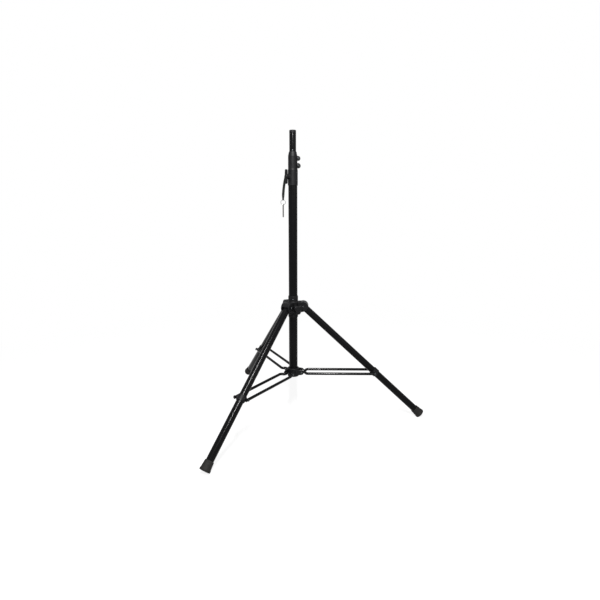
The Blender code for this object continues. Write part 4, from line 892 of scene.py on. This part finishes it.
# The braces. Each is a pair of 15 mm steel rods in black enamel, close together in the hub and bent apart
# to straddle the leg, where a flanged screw holds each rod to the clamp's boss.
CLAMP_R = LEG_PIVOT_R + CLAMP_DISTANCE * sin(LEG_LEAN)
CLAMP_Z = LEG_PIVOT_Z - CLAMP_DISTANCE * cos(LEG_LEAN)
BRACE_LENGTH = hypot(CLAMP_R - HUB_PIVOT_R, CLAMP_Z - HUB_PIVOT_Z)
BRACE_RISE = atan2(CLAMP_Z - HUB_PIVOT_Z, CLAMP_R - HUB_PIVOT_R)
BEND_R, BEND_START, ACROSS_PAIR = 0.014, 0.0110, 0.06
offset = ROD_OUT - ROD_IN
bend = 2 * atan(sqrt(offset / (4 * BEND_R - offset)))
path, steps = [(-0.009, ROD_IN)], 12
for i in range(steps + 1):
    a = bend * i / steps
    path.append((BEND_START + BEND_R * sin(a), ROD_IN + BEND_R * (1 - cos(a))))
for i in range(1, steps + 1):
    a = bend * (1 - i / steps)
    path.append((BEND_START + 2 * BEND_R * sin(bend) - BEND_R * sin(a), ROD_OUT - BEND_R * (1 - cos(a))))
path.append((BRACE_LENGTH + 0.010, ROD_OUT))
seat = ROD_OUT + ROD_R + FIT
flanged = turned([(0.0035, seat + 0.004), (0.0046, seat + 0.0036), (0.0049, seat + 0.0016),
                  (0.0058, seat + 0.0012), (0.0058, seat), (BRACE_SCREW_R, seat),
                  (BRACE_SCREW_R, ROD_OUT - ROD_R)], ZINC, 48, 0.0002)
flanged = cut(flanged, turned([(0.0021, seat + 0.0018), (0.0021, seat + 0.006)], None, 6, 0.0))
for number, azimuth in enumerate(AZIMUTHS, 1):
    pivot = (AXIS + HUB_PIVOT_R * cos(azimuth), HUB_PIVOT_R * sin(azimuth), HUB_PIVOT_Z)
    rise = (0, -BRACE_RISE, azimuth)
    body = f"brace_{number}"
    for side, letter in ((1, "a"), (-1, "b")):
        bar = bent_rod([(x, side * y, 0) for x, y in path], ROD_R, PAINT)
        bar = cut(bar, across(rod(PIVOT_BOLT_R + FIT, -ACROSS_PAIR, ACROSS_PAIR)),
                  across(rod(BRACE_SCREW_R + FIT, -ACROSS_PAIR, ACROSS_PAIR), BRACE_LENGTH))
        finished(f"brace_bar_{number}{letter}", moved(bar, pivot, rise), PAINT, "black_paint", body,
                 f"brace_rod_{number}{letter}")
    pair = fastened(flanged, [((BRACE_LENGTH, 0, 0), (0, side, 0)) for side in (1, -1)])
    finished(f"brace_screws_{number}", moved(pair, pivot, rise), ZINC, "zinc_plate", body,
             f"brace_screw_{number}a", f"brace_screw_{number}b")


# The studio: a white floor and surround, a narrow strip lamp above the front and two weak fills.
def seen_or_mirrored(tree):
    """1 for the camera's rays and for reflected and transmitted ones, and 0 for the rest."""
    rays = add(tree, "ShaderNodeLightPath").outputs
    seen = rays["Is Camera Ray"]
    for other in ("Is Glossy Ray", "Is Transmission Ray"):
        seen = add(tree, "ShaderNodeMath", {0: seen, 1: rays[other]}, operation="MAXIMUM").outputs[0]
    return seen


FLOOR, tree, place = new_finish("white_floor")
paper = add(tree, "ShaderNodeBsdfDiffuse", {"Color": linear("#F2F2F2")}).outputs[0]
glow = add(tree, "ShaderNodeEmission", {"Color": linear("#FFFFFF"), "Strength": 1.0}).outputs[0]
away = add(tree, "ShaderNodeVectorMath", {0: place}, operation="LENGTH").outputs["Value"]
lit = add(tree, "ShaderNodeMapRange", {0: away, 1: 0.8, 2: 3.0, 3: 0.9, 4: 1.0}).outputs[0]
most = add(tree, "ShaderNodeMath", {0: seen_or_mirrored(tree), 1: lit}, operation="MULTIPLY").outputs[0]
mixed = add(tree, "ShaderNodeMixShader", {0: most, 1: paper, 2: glow}).outputs[0]
add(tree, "ShaderNodeOutputMaterial", {0: mixed})
ground = bpy.data.meshes.new("floor")
FLOOR_HALF, FLOOR_Z = 30, -0.0005
corners = ((-1, -1), (1, -1), (1, 1), (-1, 1))
ground.from_pydata([(x * FLOOR_HALF, y * FLOOR_HALF, FLOOR_Z) for x, y in corners], [], [(0, 1, 2, 3)])
ground.materials.append(FLOOR)
floor = placed("floor", ground)

world = bpy.data.worlds.new("surround")
bpy.context.scene.world = world
world.use_nodes = True
tree = world.node_tree
tree.nodes.clear()
seen = seen_or_mirrored(tree)
strength = add(tree, "ShaderNodeMapRange", {0: seen, 1: 0.0, 2: 1.0, 3: 0.35, 4: 1.0}).outputs[0]
sky = add(tree, "ShaderNodeBackground", {"Color": linear("#FFFFFF"), "Strength": strength}).outputs[0]
add(tree, "ShaderNodeOutputWorld", {0: sky})

for name, place, size, power in (("strip", (-0.05, -2.0, 2.85), (0.09, 1.5), 340.0),
                                 ("fill", (2.2, -2.0, 2.2), (1.2, 1.2), 8.0),
                                 ("overhead", (0.0, 0.4, 3.0), (1.6, 1.6), 8.0)):
    lamp = bpy.data.lights.new(name, "AREA")
    lamp.shape, lamp.size, lamp.size_y, lamp.energy = "RECTANGLE", size[0], size[1], power
    light = placed(name, lamp)
    light.location = place
    light.rotation_euler = (Vector((AXIS, 0, 0.6)) - Vector(place)).to_track_quat("-Z", "Y").to_euler()

lens = bpy.data.cameras.new("camera")
lens.lens, lens.sensor_width = 27.17, 36.0
camera = placed("camera", lens)
camera.location = (AXIS + 0.1477, -2.4329, 1.1725)
camera.rotation_euler = (radians(90 - 11.598), 0, radians(2.592))
bpy.context.scene.camera = camera
bpy.context.scene.view_settings.view_transform = "Standard"
